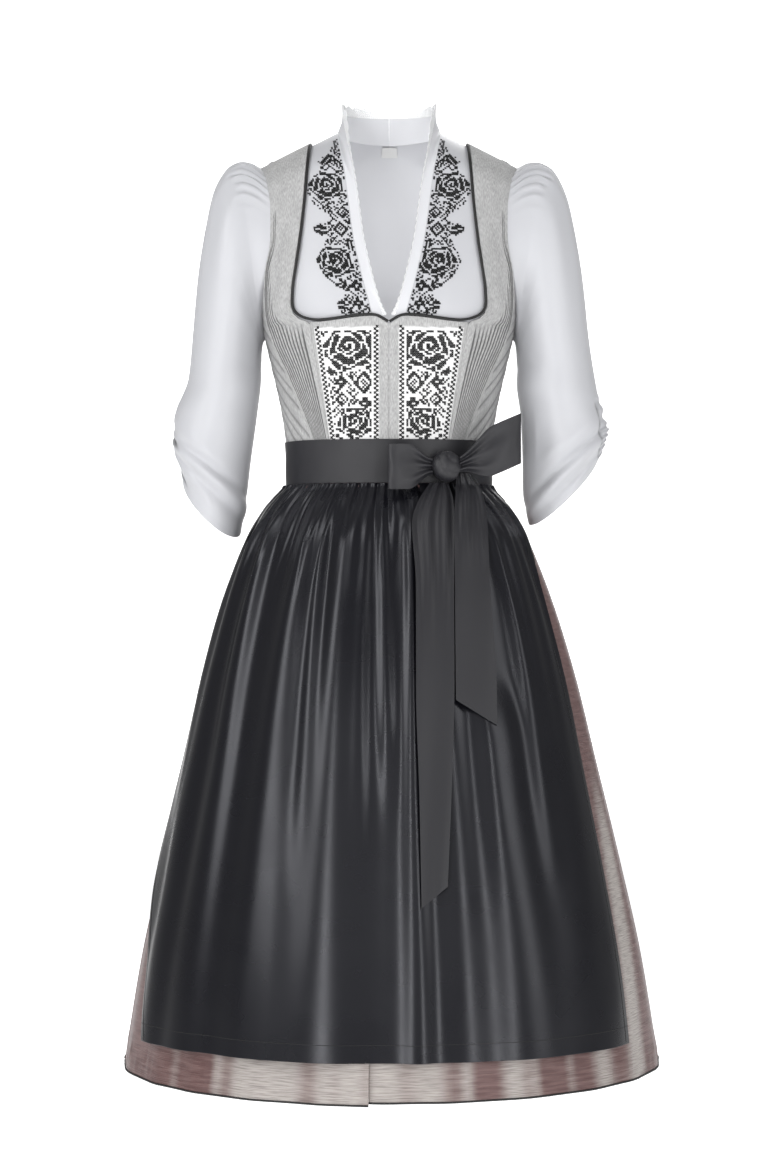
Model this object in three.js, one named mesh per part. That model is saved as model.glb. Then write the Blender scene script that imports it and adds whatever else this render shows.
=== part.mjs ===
// A dirndl as it is worn: fitted bodice, gathered skirt, apron tied with a bow, and puff-sleeved blouse.
// Lengths are in millimetres. The origin is on the shoulder line, midway between the shoulders.
// +X is to the right seen from the front, +Y to the back and +Z up. Angles are degrees from the front.
import * as THREE from "three";

// Driving dimensions: heights of the main lines
const WAIST_SEAM = -345;
const BAND_TOP = -320;
const BAND_FOOT = -369;
const APRON_HEM = -985;
const SKIRT_HEM = -1027;
const BLOUSE_HEM = -235;
const NECK_FOOT = -191.8;
const V_FOOT = -188;

// Driving dimensions: cloth and seams
const SEAM_GAP = 0.35;
const BODICE_WALL = 2;
const BLOUSE_WALL = 1.2;
const BLOUSE_DEPTH = BODICE_WALL + 1.6;
const SKIRT_WALL = 1.5;
const APRON_WALL = 1.2;
const BAND_WALL = 1.6;
const LACE_WALL = 1;
const PIPING_RADIUS = 1.5;

// Shoulders: the ridge falls from the neck to the arm, and the cloth rolls over it
const RIDGE_AT_STRAP = 24;
const STRAP_INNER = 92;
const RIDGE_FALL = 0.5;
const RIDGE_ROLL = 45;
const RIDGE_Y = 5;
const SHOULDER_HALF = 158;
const CHEST_SQUARENESS = 0.18;
const NECK_HALF = 61;

// The upper body that the bodice and blouse are cut for, down to the waist
const BODY = [
  { z: 70, half: 158, front: 44, back: 56 },
  { z: 45, half: 158, front: 48, back: 62 },
  { z: 20, half: 158, front: 60, back: 72 },
  { z: 0, half: 158, front: 71, back: 80 },
  { z: -50, half: 158, front: 95, back: 94 },
  { z: -100, half: 157, front: 116, back: 100 },
  { z: -150, half: 151.5, front: 132, back: 100 },
  { z: -178, half: 147, front: 136, back: 98 },
  { z: -207, half: 140.5, front: 129, back: 95 },
  { z: -235, half: 134, front: 117, back: 91 },
  { z: -279, half: 124, front: 101, back: 86 },
  { z: -315, half: 118.5, front: 94, back: 83 },
  { z: -345, half: 116.5, front: 91.5, back: 82 },
  { z: -380, half: 116.5, front: 92, back: 82 },
];

// The bell of the skirt
const FLARE = [
  { z: -330, half: 115.5, front: 90.5, back: 81 },
  { z: -369, half: 116, front: 91, back: 81.5 },
  { z: -382, half: 127, front: 101, back: 93 },
  { z: -395, half: 139, front: 111, back: 106 },
  { z: -421, half: 155, front: 128, back: 124 },
  { z: -460, half: 172, front: 146, back: 143 },
  { z: -500, half: 187, front: 163, back: 160 },
  { z: -540, half: 200, front: 177, back: 174 },
  { z: -600, half: 217, front: 195, back: 192 },
  { z: -676, half: 235, front: 214, back: 211 },
  { z: -807, half: 266, front: 246, back: 243 },
  { z: -906, half: 288, front: 266, back: 262 },
  { z: -1040, half: 310, front: 288, back: 282 },
];

// The armhole edge, from the ridge down to under the arm
const ARMHOLE = [
  { z: 10, angle: 70 },
  { z: -3, angle: 68.5 },
  { z: -25, angle: 61.6 },
  { z: -60, angle: 58 },
  { z: -95, angle: 58.4 },
  { z: -125, angle: 64.1 },
  { z: -150, angle: 72.5 },
  { z: -178, angle: 81.5 },
  { z: -200, angle: 90 },
  { z: -300, angle: 90 },
];
// The same edge by angle, from in front of the arm round to behind it
const ARM_FRONT = [{ z: -60, angle: 50 }, ...ARMHOLE.filter((row) => row.z < -90 && row.z > -200)];
const ARM_BEHIND = ARM_FRONT.map((row) => ({ z: row.z, angle: 180 - row.angle })).reverse();
const ARMHOLE_FLOOR = [...ARM_FRONT, { z: -200, angle: 90 }, ...ARM_BEHIND];

// Half-width of the front seam up to the neckline, and of the neckline up to the strap
const NECKLINE = [
  { z: -345, x: 63.5 },
  { z: -191.8, x: 88.7 },
  { z: -188, x: 100 },
  { z: -181, x: 107.5 },
  { z: -171.5, x: 110.5 },
  { z: -150, x: 109.5 },
  { z: -98, x: 101.5 },
  { z: -58, x: 97 },
  { z: -9, x: 94 },
  { z: 24, x: 92 },
];
// The seam between the corded panel and the side, and the one between the side and the back
const SIDE_SEAM = [
  { z: -345, angle: 42.5 },
  { z: -318, angle: 46.6 },
  { z: -290, angle: 52.3 },
  { z: -265, angle: 57.3 },
  { z: -240, angle: 62.3 },
  { z: -215, angle: 69.3 },
  { z: -191.8, angle: 73.2 },
  { z: -171.5, angle: 72 },
  { z: -150, angle: 69 },
  { z: -128, angle: 65.2 },
];
const BACK_SEAM = [
  { z: -345, x: 38 },
  { z: -318, x: 42.5 },
  { z: -290, x: 48.5 },
  { z: -265, x: 57 },
  { z: -240, x: 66 },
  { z: -215, x: 79.5 },
  { z: -185, x: 97.1 },
  { z: -158.8, x: 112.1 },
  { z: -131.2, x: 126.8 },
  { z: -97.8, x: 134.6 },
];
const V_SEAM = [
  { z: 60, x: 62 },
  { z: 39.5, x: NECK_HALF },
  { z: 28, x: 59 },
  { z: 8, x: 55 },
  { z: -12, x: 51 },
  { z: -50, x: 46 },
  { z: -94, x: 40 },
  { z: -130, x: 32.5 },
  { z: -168, x: 23 },
  { z: -200, x: 13 },
  { z: -216, x: 1 },
  { z: -240, x: 1 },
];

// Heights that neighbouring panels share, so that their seams match; the rest are shares of a rise
const SIDE_SEAM_TOP = -128;
const BACK_SEAM_TOP = -97.8;
const UNDERARM = -215;
const LOWER_ROWS = [WAIST_SEAM, -318, -314, -290, -265, -240, UNDERARM];
const ARM_SHARES = [0.267, 0.5, 0.745, 1];
const SHOULDER_FOOT = -98;
const SHOULDER_ROWS = 7;
const STRAP_COLUMNS = 4;
const NECK_COLUMNS = 8;
const SIDE_ANGLE = 95;
// Behind, the straps come down to a seam below the roll of the shoulder
const BACK_STRAP_FOOT = -32;
const BACK_NECK_DEPTH = 22;

const COLOURS = {
  linen: 0xb9b7b5,
  cotton: 0xf1f1f4,
  satin: 0x2b2b30,
  taffeta: 0x8f6f6c,
  piping: 0x111114,
};

const garment = new THREE.Group();
garment.name = "dirndl";

const radians = THREE.MathUtils.degToRad;
const degrees = THREE.MathUtils.radToDeg;
const mix = THREE.MathUtils.lerp;
const step = THREE.MathUtils.smoothstep;

// Smooth value of a column of a table at a place, without overshoot between its rows.
function read(table, by, want, place) {
  const rows = table[0][by] > table[table.length - 1][by] ? [...table].reverse() : table;
  const last = rows.length - 1;
  const at = Math.min(Math.max(place, rows[0][by]), rows[last][by]);
  let i = 0;
  while (i < last - 1 && at > rows[i + 1][by]) i += 1;
  const slope = (k) => (rows[k + 1][want] - rows[k][want]) / (rows[k + 1][by] - rows[k][by]);
  const tangent = (k) => {
    if (k === 0) return slope(0);
    if (k === last) return slope(last - 1);
    const [before, after] = [slope(k - 1), slope(k)];
    return before * after <= 0 ? 0 : (2 * before * after) / (before + after);
  };
  const span = rows[i + 1][by] - rows[i][by];
  const t = (at - rows[i][by]) / span;
  const [a, b] = [rows[i][want], rows[i + 1][want]];
  const curve = a * (1 + 2 * t) * (1 - t) ** 2 + b * t * t * (3 - 2 * t);
  return curve + span * (tangent(i) * t * (1 - t) ** 2 - tangent(i + 1) * t * t * (1 - t));
}

function ridgeHeight(x) {
  return RIDGE_AT_STRAP + (STRAP_INNER - Math.abs(x)) * RIDGE_FALL;
}

// Straight-line value of a column between a table's rows, as a seam has it.
function along(table, want, z) {
  let i = 0;
  while (i < table.length - 2 && z > table[i + 1].z) i += 1;
  const [low, high] = [table[i], table[i + 1]];
  return mix(low[want], high[want], Math.min(Math.max((z - low.z) / (high.z - low.z), 0), 1));
}

const ROLL_ARC = (RIDGE_ROLL * Math.PI) / 2;
const ridgeAt = (angle) => ridgeHeight(SHOULDER_HALF * Math.sin(radians(angle)));

// Height at an angle after going so far down the cloth from the ridge.
function heightAt(angle, down) {
  const rolled = Math.min(down / RIDGE_ROLL, Math.PI / 2);
  return ridgeAt(angle) - RIDGE_ROLL * (1 - Math.cos(rolled)) - Math.max(down - ROLL_ARC, 0);
}

// How far down the cloth a height is.
function downTo(angle, z) {
  const drop = Math.max(ridgeAt(angle) - z, 0);
  return drop <= RIDGE_ROLL ? RIDGE_ROLL * Math.acos(1 - drop / RIDGE_ROLL) : drop - RIDGE_ROLL + ROLL_ARC;
}

// The body's surface at an angle, so far down from the shoulder ridge.
function bodyPoint(angle, down) {
  const turn = radians(angle);
  const rolled = Math.min(down / RIDGE_ROLL, Math.PI / 2);
  const z = heightAt(angle, down);
  const front = Math.cos(turn) >= 0;
  const depth = read(BODY, "z", front ? "front" : "back", z);
  const square = 1 + CHEST_SQUARENESS * Math.sin(turn) ** 2;
  const y = RIDGE_Y + (-depth * Math.cos(turn) * square - RIDGE_Y) * Math.sin(rolled);
  return new THREE.Vector3(read(BODY, "z", "half", z) * Math.sin(turn), y, z);
}

// The same surface by height, sunk by a depth along its normal.
function onBody(angle, z, depth = 0) {
  const behind = Math.cos(radians(angle)) < 0;
  const down = Math.max(downTo(angle, z), behind ? SEAM_GAP : 0);
  const here = bodyPoint(angle, down);
  const across = bodyPoint(angle + 0.2, down).sub(bodyPoint(angle - 0.2, down));
  const fall = bodyPoint(angle, down + 0.4).sub(bodyPoint(angle, Math.max(down - 0.4, 0)));
  const normal = fall.cross(across).normalize();
  return here.addScaledVector(normal, -depth);
}

function angleAt(x, z) {
  return degrees(Math.asin(Math.min(Math.max(x / read(BODY, "z", "half", z), -1), 1)));
}

// A closed wall from a grid of outer and inner points; a round wall closes on its first column.
function wall(name, colour, outer, inner, round = false) {
  const columns = outer.length;
  const rows = outer[0].length;
  const points = [...outer.flat(), ...inner.flat()];
  const faces = [];
  const index = (side, i, j) => side * columns * rows + (i % columns) * rows + j;
  const quad = (a, b, c, d) => faces.push(a, b, c, a, c, d);
  const spans = round ? columns : columns - 1;
  for (let i = 0; i < spans; i += 1) {
    for (let j = 0; j < rows - 1; j += 1) {
      quad(index(0, i, j), index(0, i + 1, j), index(0, i + 1, j + 1), index(0, i, j + 1));
      quad(index(1, i, j), index(1, i, j + 1), index(1, i + 1, j + 1), index(1, i + 1, j));
    }
    quad(index(0, i, 0), index(1, i, 0), index(1, i + 1, 0), index(0, i + 1, 0));
    const j = rows - 1;
    quad(index(0, i, j), index(0, i + 1, j), index(1, i + 1, j), index(1, i, j));
  }
  for (let j = 0; j < rows - 1 && !round; j += 1) {
    const i = columns - 1;
    quad(index(0, 0, j), index(0, 0, j + 1), index(1, 0, j + 1), index(1, 0, j));
    quad(index(0, i, j), index(1, i, j), index(1, i, j + 1), index(0, i, j + 1));
  }
  const shape = new THREE.BufferGeometry().setFromPoints(points);
  shape.setIndex(faces);
  return add(name, colour, shape);
}

function add(name, colour, shape, roughness = 0.8) {
  // A grid that was walked the other way is inside out, so its faces are turned.
  const place = shape.getAttribute("position");
  const order = shape.index.array;
  const corner = (k) => new THREE.Vector3().fromBufferAttribute(place, order[k]);
  let volume = 0;
  for (let k = 0; k < order.length; k += 3) {
    volume += corner(k).dot(corner(k + 1).cross(corner(k + 2)));
  }
  if (volume < 0) order.reverse();
  shape.computeVertexNormals();
  const cloth = new THREE.MeshStandardMaterial({ color: colour, roughness, metalness: 0 });
  const mesh = new THREE.Mesh(shape, cloth);
  mesh.name = name;
  garment.add(mesh);
  return mesh;
}

function grid(columns, rows, point) {
  return Array.from({ length: columns + 1 }, (_, i) =>
    Array.from({ length: rows + 1 }, (__, j) => point(i / columns, j / rows)),
  );
}

// A free sheet given wall thickness along its own normals; its point also answers just past the edges.
function sheet(name, colour, columns, rows, point, thick, round = false) {
  const [du, dv] = [0.2 / columns, 0.2 / rows];
  const outer = grid(columns, rows, point);
  const inner = grid(columns, rows, (u, v) => {
    const across = point(u + du, v).sub(point(u - du, v));
    const down = point(u, Math.min(v + dv, 1)).sub(point(u, Math.max(v - dv, 0)));
    return point(u, v).addScaledVector(down.cross(across).normalize(), -thick);
  });
  if (round) {
    outer.pop();
    inner.pop();
  }
  return wall(name, colour, outer, inner, round);
}

// Value of a list at a share of its length, straight between its entries.
function ladder(list, share) {
  const place = Math.min(Math.max(share, 0), 1) * (list.length - 1);
  const i = Math.min(Math.floor(place), list.length - 2);
  return mix(list[i], list[i + 1], place - i);
}

// Where a column of a panel meets the panel's top edge.
function topOf(cut, share) {
  let z = UNDERARM;
  let angle = 0;
  for (let k = 0; k < 16; k += 1) {
    angle = mix(cut.left(z), cut.right(z), share);
    z = mix(z, cut.top(angle), 0.6);
  }
  return { angle, z };
}

// A panel cut from the body between two edges; each column's heights follow from its top.
function bodyPanel(name, colour, cut) {
  const { columns, rows, left, right, depth, thick, relief } = cut;
  const build = (sunk, raised) =>
    columns.map((share, i) => {
      const top = topOf(cut, share);
      return rows(top.z, top.angle).map((z) => {
        const lift = raised && relief ? relief(i, z) : 0;
        return onBody(mix(left(z), right(z), share), z, sunk - lift);
      });
    });
  return wall(name, colour, build(depth, true), build(depth + thick, false));
}

const rise = (from, to, shares) => shares.map((share) => mix(from, to, share));
const evenly = (count) => Array.from({ length: count + 1 }, (_, k) => k / count);
const armholeAngle = (z) => read(ARMHOLE, "z", "angle", z);
const sideSeamAngle = (z) => along(SIDE_SEAM, "angle", z);
const neckAngle = (z) => angleAt(along(NECKLINE, "x", z), z);
const gapAngle = (z) => angleAt(SEAM_GAP, z);

// The neckline's lower edge dips at the centre, where the two fronts meet.
function neckFoot(x) {
  const away = Math.abs(x);
  return NECK_FOOT + 5 * step(away, 4, 16) * (1 - step(away, 20, 80)) - 3 * (1 - step(away, 0, 8));
}

const armFloor = (angle) => read(ARMHOLE_FLOOR, "angle", "z", Math.abs(angle));

// Heights from the shoulder foot to a column's top, evenly along the cloth as it rolls over.
function shoulderRise(z, angle) {
  const [foot, top] = [downTo(angle, SHOULDER_FOOT), downTo(angle, z)];
  return rise(foot, top, evenly(SHOULDER_ROWS).slice(1)).map((down) => heightAt(angle, down));
}

// The cords below the bust
const CORD_HEIGHT = 0.8;
const CORDS_FROM = -316;
const CORDS_TO = -200;

function bodiceSides(side, hand) {
  const wallOf = { depth: 0, thick: BODICE_WALL };
  const halfAtNeck = read(BODY, "z", "half", NECK_FOOT);
  bodyPanel(`bodice_front_${hand}`, COLOURS.linen, {
    columns: evenly(8),
    top: (angle) => neckFoot(halfAtNeck * Math.sin(radians(angle))),
    rows: (z) => [...LOWER_ROWS, z],
    left: (z) => side * gapAngle(z),
    right: (z) => side * (neckAngle(Math.min(z, NECK_FOOT)) - gapAngle(z)),
    ...wallOf,
  });
  // Cords are stitched into this panel below the bust, one on every second column.
  const sideRows = rise(UNDERARM, SIDE_SEAM_TOP, ARM_SHARES);
  const chestRows = [sideRows[0], -188, -181, ...sideRows.slice(1), SHOULDER_FOOT];
  bodyPanel(`bodice_corded_${hand}`, COLOURS.linen, {
    columns: evenly(12),
    top: ridgeAt,
    rows: (z, angle) => [...LOWER_ROWS, ...chestRows, ...shoulderRise(z, angle)],
    left: (z) => side * neckAngle(z),
    right: (z) => side * (z > SIDE_SEAM_TOP ? armholeAngle(z) : sideSeamAngle(z) - gapAngle(z)),
    relief: (i, z) => (i % 2 === 1 && z > CORDS_FROM && z < CORDS_TO ? CORD_HEIGHT : 0),
    ...wallOf,
  });
  bodyPanel(`bodice_side_${hand}`, COLOURS.linen, {
    columns: evenly(6),
    top: armFloor,
    rows: (z) => [...LOWER_ROWS, ...rise(UNDERARM, z, ARM_SHARES)],
    left: (z) => side * sideSeamAngle(z),
    right: () => side * SIDE_ANGLE,
    ...wallOf,
  });
  bodyPanel(`bodice_back_side_${hand}`, COLOURS.linen, {
    columns: evenly(6),
    top: armFloor,
    rows: (z) => [...LOWER_ROWS, ...rise(UNDERARM, z, ARM_SHARES)],
    left: (z) => side * (SIDE_ANGLE + gapAngle(z)),
    right: (z) => side * (180 - backSeamAngle(z) - gapAngle(z)),
    ...wallOf,
  });
}

const backSeamAngle = (z) => angleAt(along(BACK_SEAM, "x", z), z);

function backEdge(z) {
  return z > BACK_SEAM_TOP ? armholeAngle(z) : backSeamAngle(z);
}

const strapEdge = (z) => angleAt(STRAP_INNER, z);

function backNeck(angle) {
  const share = Math.sin(radians(180 - angle)) / Math.sin(radians(strapEdge(BACK_STRAP_FOOT)));
  return BACK_STRAP_FOOT - BACK_NECK_DEPTH * Math.max(1 - share ** 2, 0);
}

const backSeamRows = rise(UNDERARM, BACK_SEAM_TOP, ARM_SHARES);
const strapShare = 1 - strapEdge(BACK_STRAP_FOOT) / armholeAngle(BACK_STRAP_FOOT);
const BODICE_BACK = {
  columns: [
    ...rise(0, strapShare / 2, evenly(STRAP_COLUMNS)),
    ...rise(strapShare / 2, 1 - strapShare / 2, evenly(NECK_COLUMNS)).slice(1, -1),
    ...rise(1 - strapShare / 2, 1, evenly(STRAP_COLUMNS)),
  ],
  top: backNeck,
  rows: (z) => [...LOWER_ROWS, ...backSeamRows, mix(BACK_SEAM_TOP, z, 0.5), z],
  left: (z) => 180 - backEdge(z),
  right: (z) => 180 + backEdge(z),
  depth: 0,
  thick: BODICE_WALL,
};

function bodiceBack() {
  bodyPanel("bodice_back", COLOURS.linen, BODICE_BACK);
  for (const [side, hand] of [[-1, "left"], [1, "right"]]) {
    const foot = BACK_STRAP_FOOT + SEAM_GAP;
    bodyPanel(`bodice_strap_${hand}`, COLOURS.linen, {
      columns: evenly(STRAP_COLUMNS),
      top: ridgeAt,
      rows: (z, angle) => rise(downTo(angle, foot), 0, evenly(5)).map((down) => heightAt(angle, down)),
      left: (z) => side * (180 - strapEdge(z)),
      right: (z) => side * (180 - armholeAngle(z)),
      depth: 0,
      thick: BODICE_WALL,
    });
  }
}

// A round cord through points, with flat ends.
function cord(name, colour, path, radius, sides) {
  const rings = path.map((here, k) => {
    const ahead = path[Math.min(k + 1, path.length - 1)].clone().sub(path[Math.max(k - 1, 0)]).normalize();
    const aside = new THREE.Vector3(0, 0, 1).cross(ahead);
    if (aside.length() < 0.3) aside.set(0, 1, 0).cross(ahead);
    aside.normalize();
    const up = ahead.clone().cross(aside);
    return { here, aside, up };
  });
  for (let k = 1; k < rings.length; k += 1) {
    const [last, ring] = [rings[k - 1], rings[k]];
    const ahead = ring.aside.clone().cross(ring.up);
    ring.aside = last.aside.clone().addScaledVector(ahead, -last.aside.dot(ahead)).normalize();
    ring.up = ahead.clone().cross(ring.aside);
  }
  const points = rings.flatMap(({ here, aside, up }) =>
    Array.from({ length: sides }, (_, s) => {
      const turn = (s * 2 * Math.PI) / sides;
      const out = aside.clone().multiplyScalar(Math.cos(turn)).addScaledVector(up, Math.sin(turn));
      return here.clone().addScaledVector(out, radius);
    }),
  );
  const faces = [];
  const last = (rings.length - 1) * sides;
  for (let k = 0; k < last; k += sides) {
    for (let s = 0; s < sides; s += 1) {
      const next = (s + 1) % sides;
      faces.push(k + s, k + next, k + sides + next, k + s, k + sides + next, k + sides + s);
    }
  }
  for (let s = 1; s < sides - 1; s += 1) {
    faces.push(0, s + 1, s);
    faces.push(last, last + s, last + s + 1);
  }
  const shape = new THREE.BufferGeometry().setFromPoints(points);
  shape.setIndex(faces);
  return add(name, colour, shape);
}

// Black piping along the whole neckline, from one centre front edge to the other.
const PIPING_SINK = 0.4;
const PIPING_CLEAR = PIPING_RADIUS + SEAM_GAP + 0.3;
const PIPING_SIDES = 6;
const PIPING_LOW = [2.2, 8, 16, 30, 45, 60, 72, 82];
const PIPING_SIDE = [NECK_FOOT, -188, -181, -171.5, -150.2, -128, SHOULDER_FOOT];
const PIPING_STRAP = [0.1, 0.3, 0.5, 0.7, 0.86];

// A line on the body moved sideways by the piping's clearance.
function shiftedLine(line, turnedIn) {
  return line.map((p, k) => {
    const [a, b] = [line[Math.max(k - 1, 0)], line[Math.min(k + 1, line.length - 1)]];
    const run = Math.hypot(b.x - a.x, b.z - a.z);
    const aside = { x: (-(b.z - a.z) / run) * turnedIn, z: ((b.x - a.x) / run) * turnedIn };
    return { x: p.x + aside.x * PIPING_CLEAR, z: p.z + aside.z * PIPING_CLEAR };
  });
}

function neckPiping() {
  const front = PIPING_LOW.map((x) => ({ x, z: neckFoot(x) }));
  for (const z of PIPING_SIDE) {
    front.push({ x: along(NECKLINE, "x", z), z });
  }
  const strapAngle = angleAt(STRAP_INNER, RIDGE_AT_STRAP);
  for (const z of shoulderRise(RIDGE_AT_STRAP, strapAngle)) {
    front.push({ x: along(NECKLINE, "x", z), z });
  }
  const strapDown = downTo(180 - strapEdge(0), BACK_STRAP_FOOT);
  const behind = rise(0, strapDown, PIPING_STRAP).map((down) => {
    return { x: STRAP_INNER, z: heightAt(180 - strapEdge(0), down) };
  });
  const fromStrap = (place) => place >= strapShare / 2 && place <= 0.5;
  for (const share of BODICE_BACK.columns.filter(fromStrap)) {
    const { angle, z } = topOf(BODICE_BACK, share);
    behind.push({ x: read(BODY, "z", "half", z) * Math.sin(radians(angle)), z });
  }
  const half = shiftedLine(front, 1).map((p) => onBody(angleAt(p.x, p.z), p.z, PIPING_SINK));
  const back = shiftedLine(behind, -1).map((p) => {
    return onBody(180 - angleAt(Math.max(p.x, 0), p.z), p.z, PIPING_SINK);
  });
  half.push(...back);
  const middle = half.pop().setX(0);
  const mirrored = half.map((p) => new THREE.Vector3(-p.x, p.y, p.z)).reverse();
  cord("neck_piping", COLOURS.piping, [...half, middle, ...mirrored], PIPING_RADIUS, PIPING_SIDES);
}

const vSeamAngle = (z) => angleAt(read(V_SEAM, "z", "x", z), z);

function blouseNeck(angle) {
  const x = Math.abs(SHOULDER_HALF * Math.sin(radians(angle)));
  return x >= NECK_HALF ? ridgeAt(angle) : 35 + 4.5 * (x / NECK_HALF) ** 2;
}

const BLOUSE_ROWS = [BLOUSE_HEM, -200, -150, SHOULDER_FOOT];

function blouseBody() {
  const wallOf = { depth: BLOUSE_DEPTH, thick: BLOUSE_WALL };
  for (const [side, hand] of [[-1, "left"], [1, "right"]]) {
    bodyPanel(`blouse_front_${hand}`, COLOURS.cotton, {
      columns: evenly(6),
      top: ridgeAt,
      rows: (z, angle) => [...BLOUSE_ROWS, ...shoulderRise(z, angle)],
      left: (z) => side * vSeamAngle(z),
      right: (z) => side * (armholeAngle(z) - gapAngle(z)),
      ...wallOf,
    });
  }
  bodyPanel("blouse_back", COLOURS.cotton, {
    columns: evenly(16),
    top: blouseNeck,
    rows: (z, angle) => [...BLOUSE_ROWS, ...shoulderRise(z, angle)],
    left: (z) => 180 - armholeAngle(z),
    right: (z) => 180 + armholeAngle(z),
    ...wallOf,
  });
}

// The collar's free edge: down the V opening it lies on the body, round the neck it stands up.
const COLLAR_EDGE = [
  { along: 0, x: 7, z: -186 },
  { along: 0.1, x: 13, z: -165 },
  { along: 0.22, x: 21.5, z: -130 },
  { along: 0.33, x: 29, z: -94 },
  { along: 0.46, x: 35, z: -50 },
  { along: 0.57, x: 40.5, z: -14 },
  { along: 0.64, x: 45, y: -58, z: 8 },
  { along: 0.71, x: 50, y: -30, z: 34 },
  { along: 0.77, x: 53.5, y: -4, z: 56 },
  { along: 0.81, x: 54, y: 14, z: 60 },
  { along: 0.87, x: 49, y: 36, z: 61.5 },
  { along: 0.92, x: 37, y: 51, z: 62 },
  { along: 0.96, x: 20, y: 59, z: 62.4 },
  { along: 1, x: 0, y: 61.5, z: 62.4 },
].map((row) => {
  if (row.y !== undefined) return row;
  return { ...row, y: onBody(angleAt(row.x, row.z), row.z, BLOUSE_DEPTH).y };
});

// The seam that joins the collar to the blouse, from the foot of the V to the centre back.
const COLLAR_RIDGE = 0.75;
const COLLAR_INSET = 1.2;
const COLLAR_RAISED = 1.4;
function smoothSeam(share) {
  if (share <= COLLAR_RIDGE) {
    const rising = Math.sin((share / COLLAR_RIDGE) * (Math.PI / 2)) ** 1.1;
    const z = mix(V_FOOT, ridgeHeight(NECK_HALF), rising);
    return onBody(vSeamAngle(z) - COLLAR_INSET, z, BLOUSE_DEPTH);
  }
  const round = ((share - COLLAR_RIDGE) / (1 - COLLAR_RIDGE)) * (Math.PI / 2);
  const x = (NECK_HALF - 2) * Math.cos(round);
  const angle = 180 - degrees(Math.asin(x / SHOULDER_HALF));
  const p = onBody(angle, blouseNeck(angle), BLOUSE_DEPTH);
  return p.setZ(p.z + COLLAR_RAISED);
}

function smoothEdge(share) {
  const value = (want) => read(COLLAR_EDGE, "along", want, share);
  return new THREE.Vector3(value("x"), value("y"), value("z"));
}

// Both lines are taken straight between these stations, so that collar and lace meet.
const COLLAR_COLUMNS = 20;
const between = (line) => {
  const stations = evenly(COLLAR_COLUMNS).map(line);
  return (share) => {
    const place = Math.min(Math.max(share, 0), 1) * COLLAR_COLUMNS;
    const i = Math.min(Math.floor(place), COLLAR_COLUMNS - 1);
    return stations[i].clone().lerp(stations[i + 1], place - i);
  };
};
const collarSeam = between(smoothSeam);
const collarEdge = between(smoothEdge);

function collarPoint(share, up) {
  const seam = collarSeam(share);
  const edge = collarEdge(share);
  const away = SEAM_GAP / seam.distanceTo(edge);
  return seam.lerp(edge, up * (1 - away));
}

// Scalloped lace carries on past the collar's free edge, widest at the back of the neck.
const SCALLOPS = 20;
const LACE_GAP = 0.1;
function lacePoint(share, up) {
  const seam = collarSeam(share);
  const edge = collarEdge(share);
  const width = mix(6, 15, step(share, 0.55, 0.8));
  const scallop = Math.abs(Math.sin(share * SCALLOPS * Math.PI));
  const out = edge.clone().sub(seam).normalize();
  return edge.addScaledVector(out, LACE_GAP + up * width * (0.72 + 0.28 * scallop));
}

const MIDDLE_CLEAR = 0.3;
function collar() {
  for (const [side, hand] of [[-1, "left"], [1, "right"]]) {
    const turned = (point) => (u, v) => {
      const p = point(u, v);
      return new THREE.Vector3(side * Math.max(p.x, MIDDLE_CLEAR), p.y, p.z);
    };
    sheet(`collar_${hand}`, COLOURS.cotton, COLLAR_COLUMNS, 1, turned(collarPoint), side * BLOUSE_WALL);
    sheet(`lace_${hand}`, COLOURS.cotton, COLLAR_COLUMNS * 2, 1, turned(lacePoint), side * LACE_WALL);
  }
}

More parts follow.
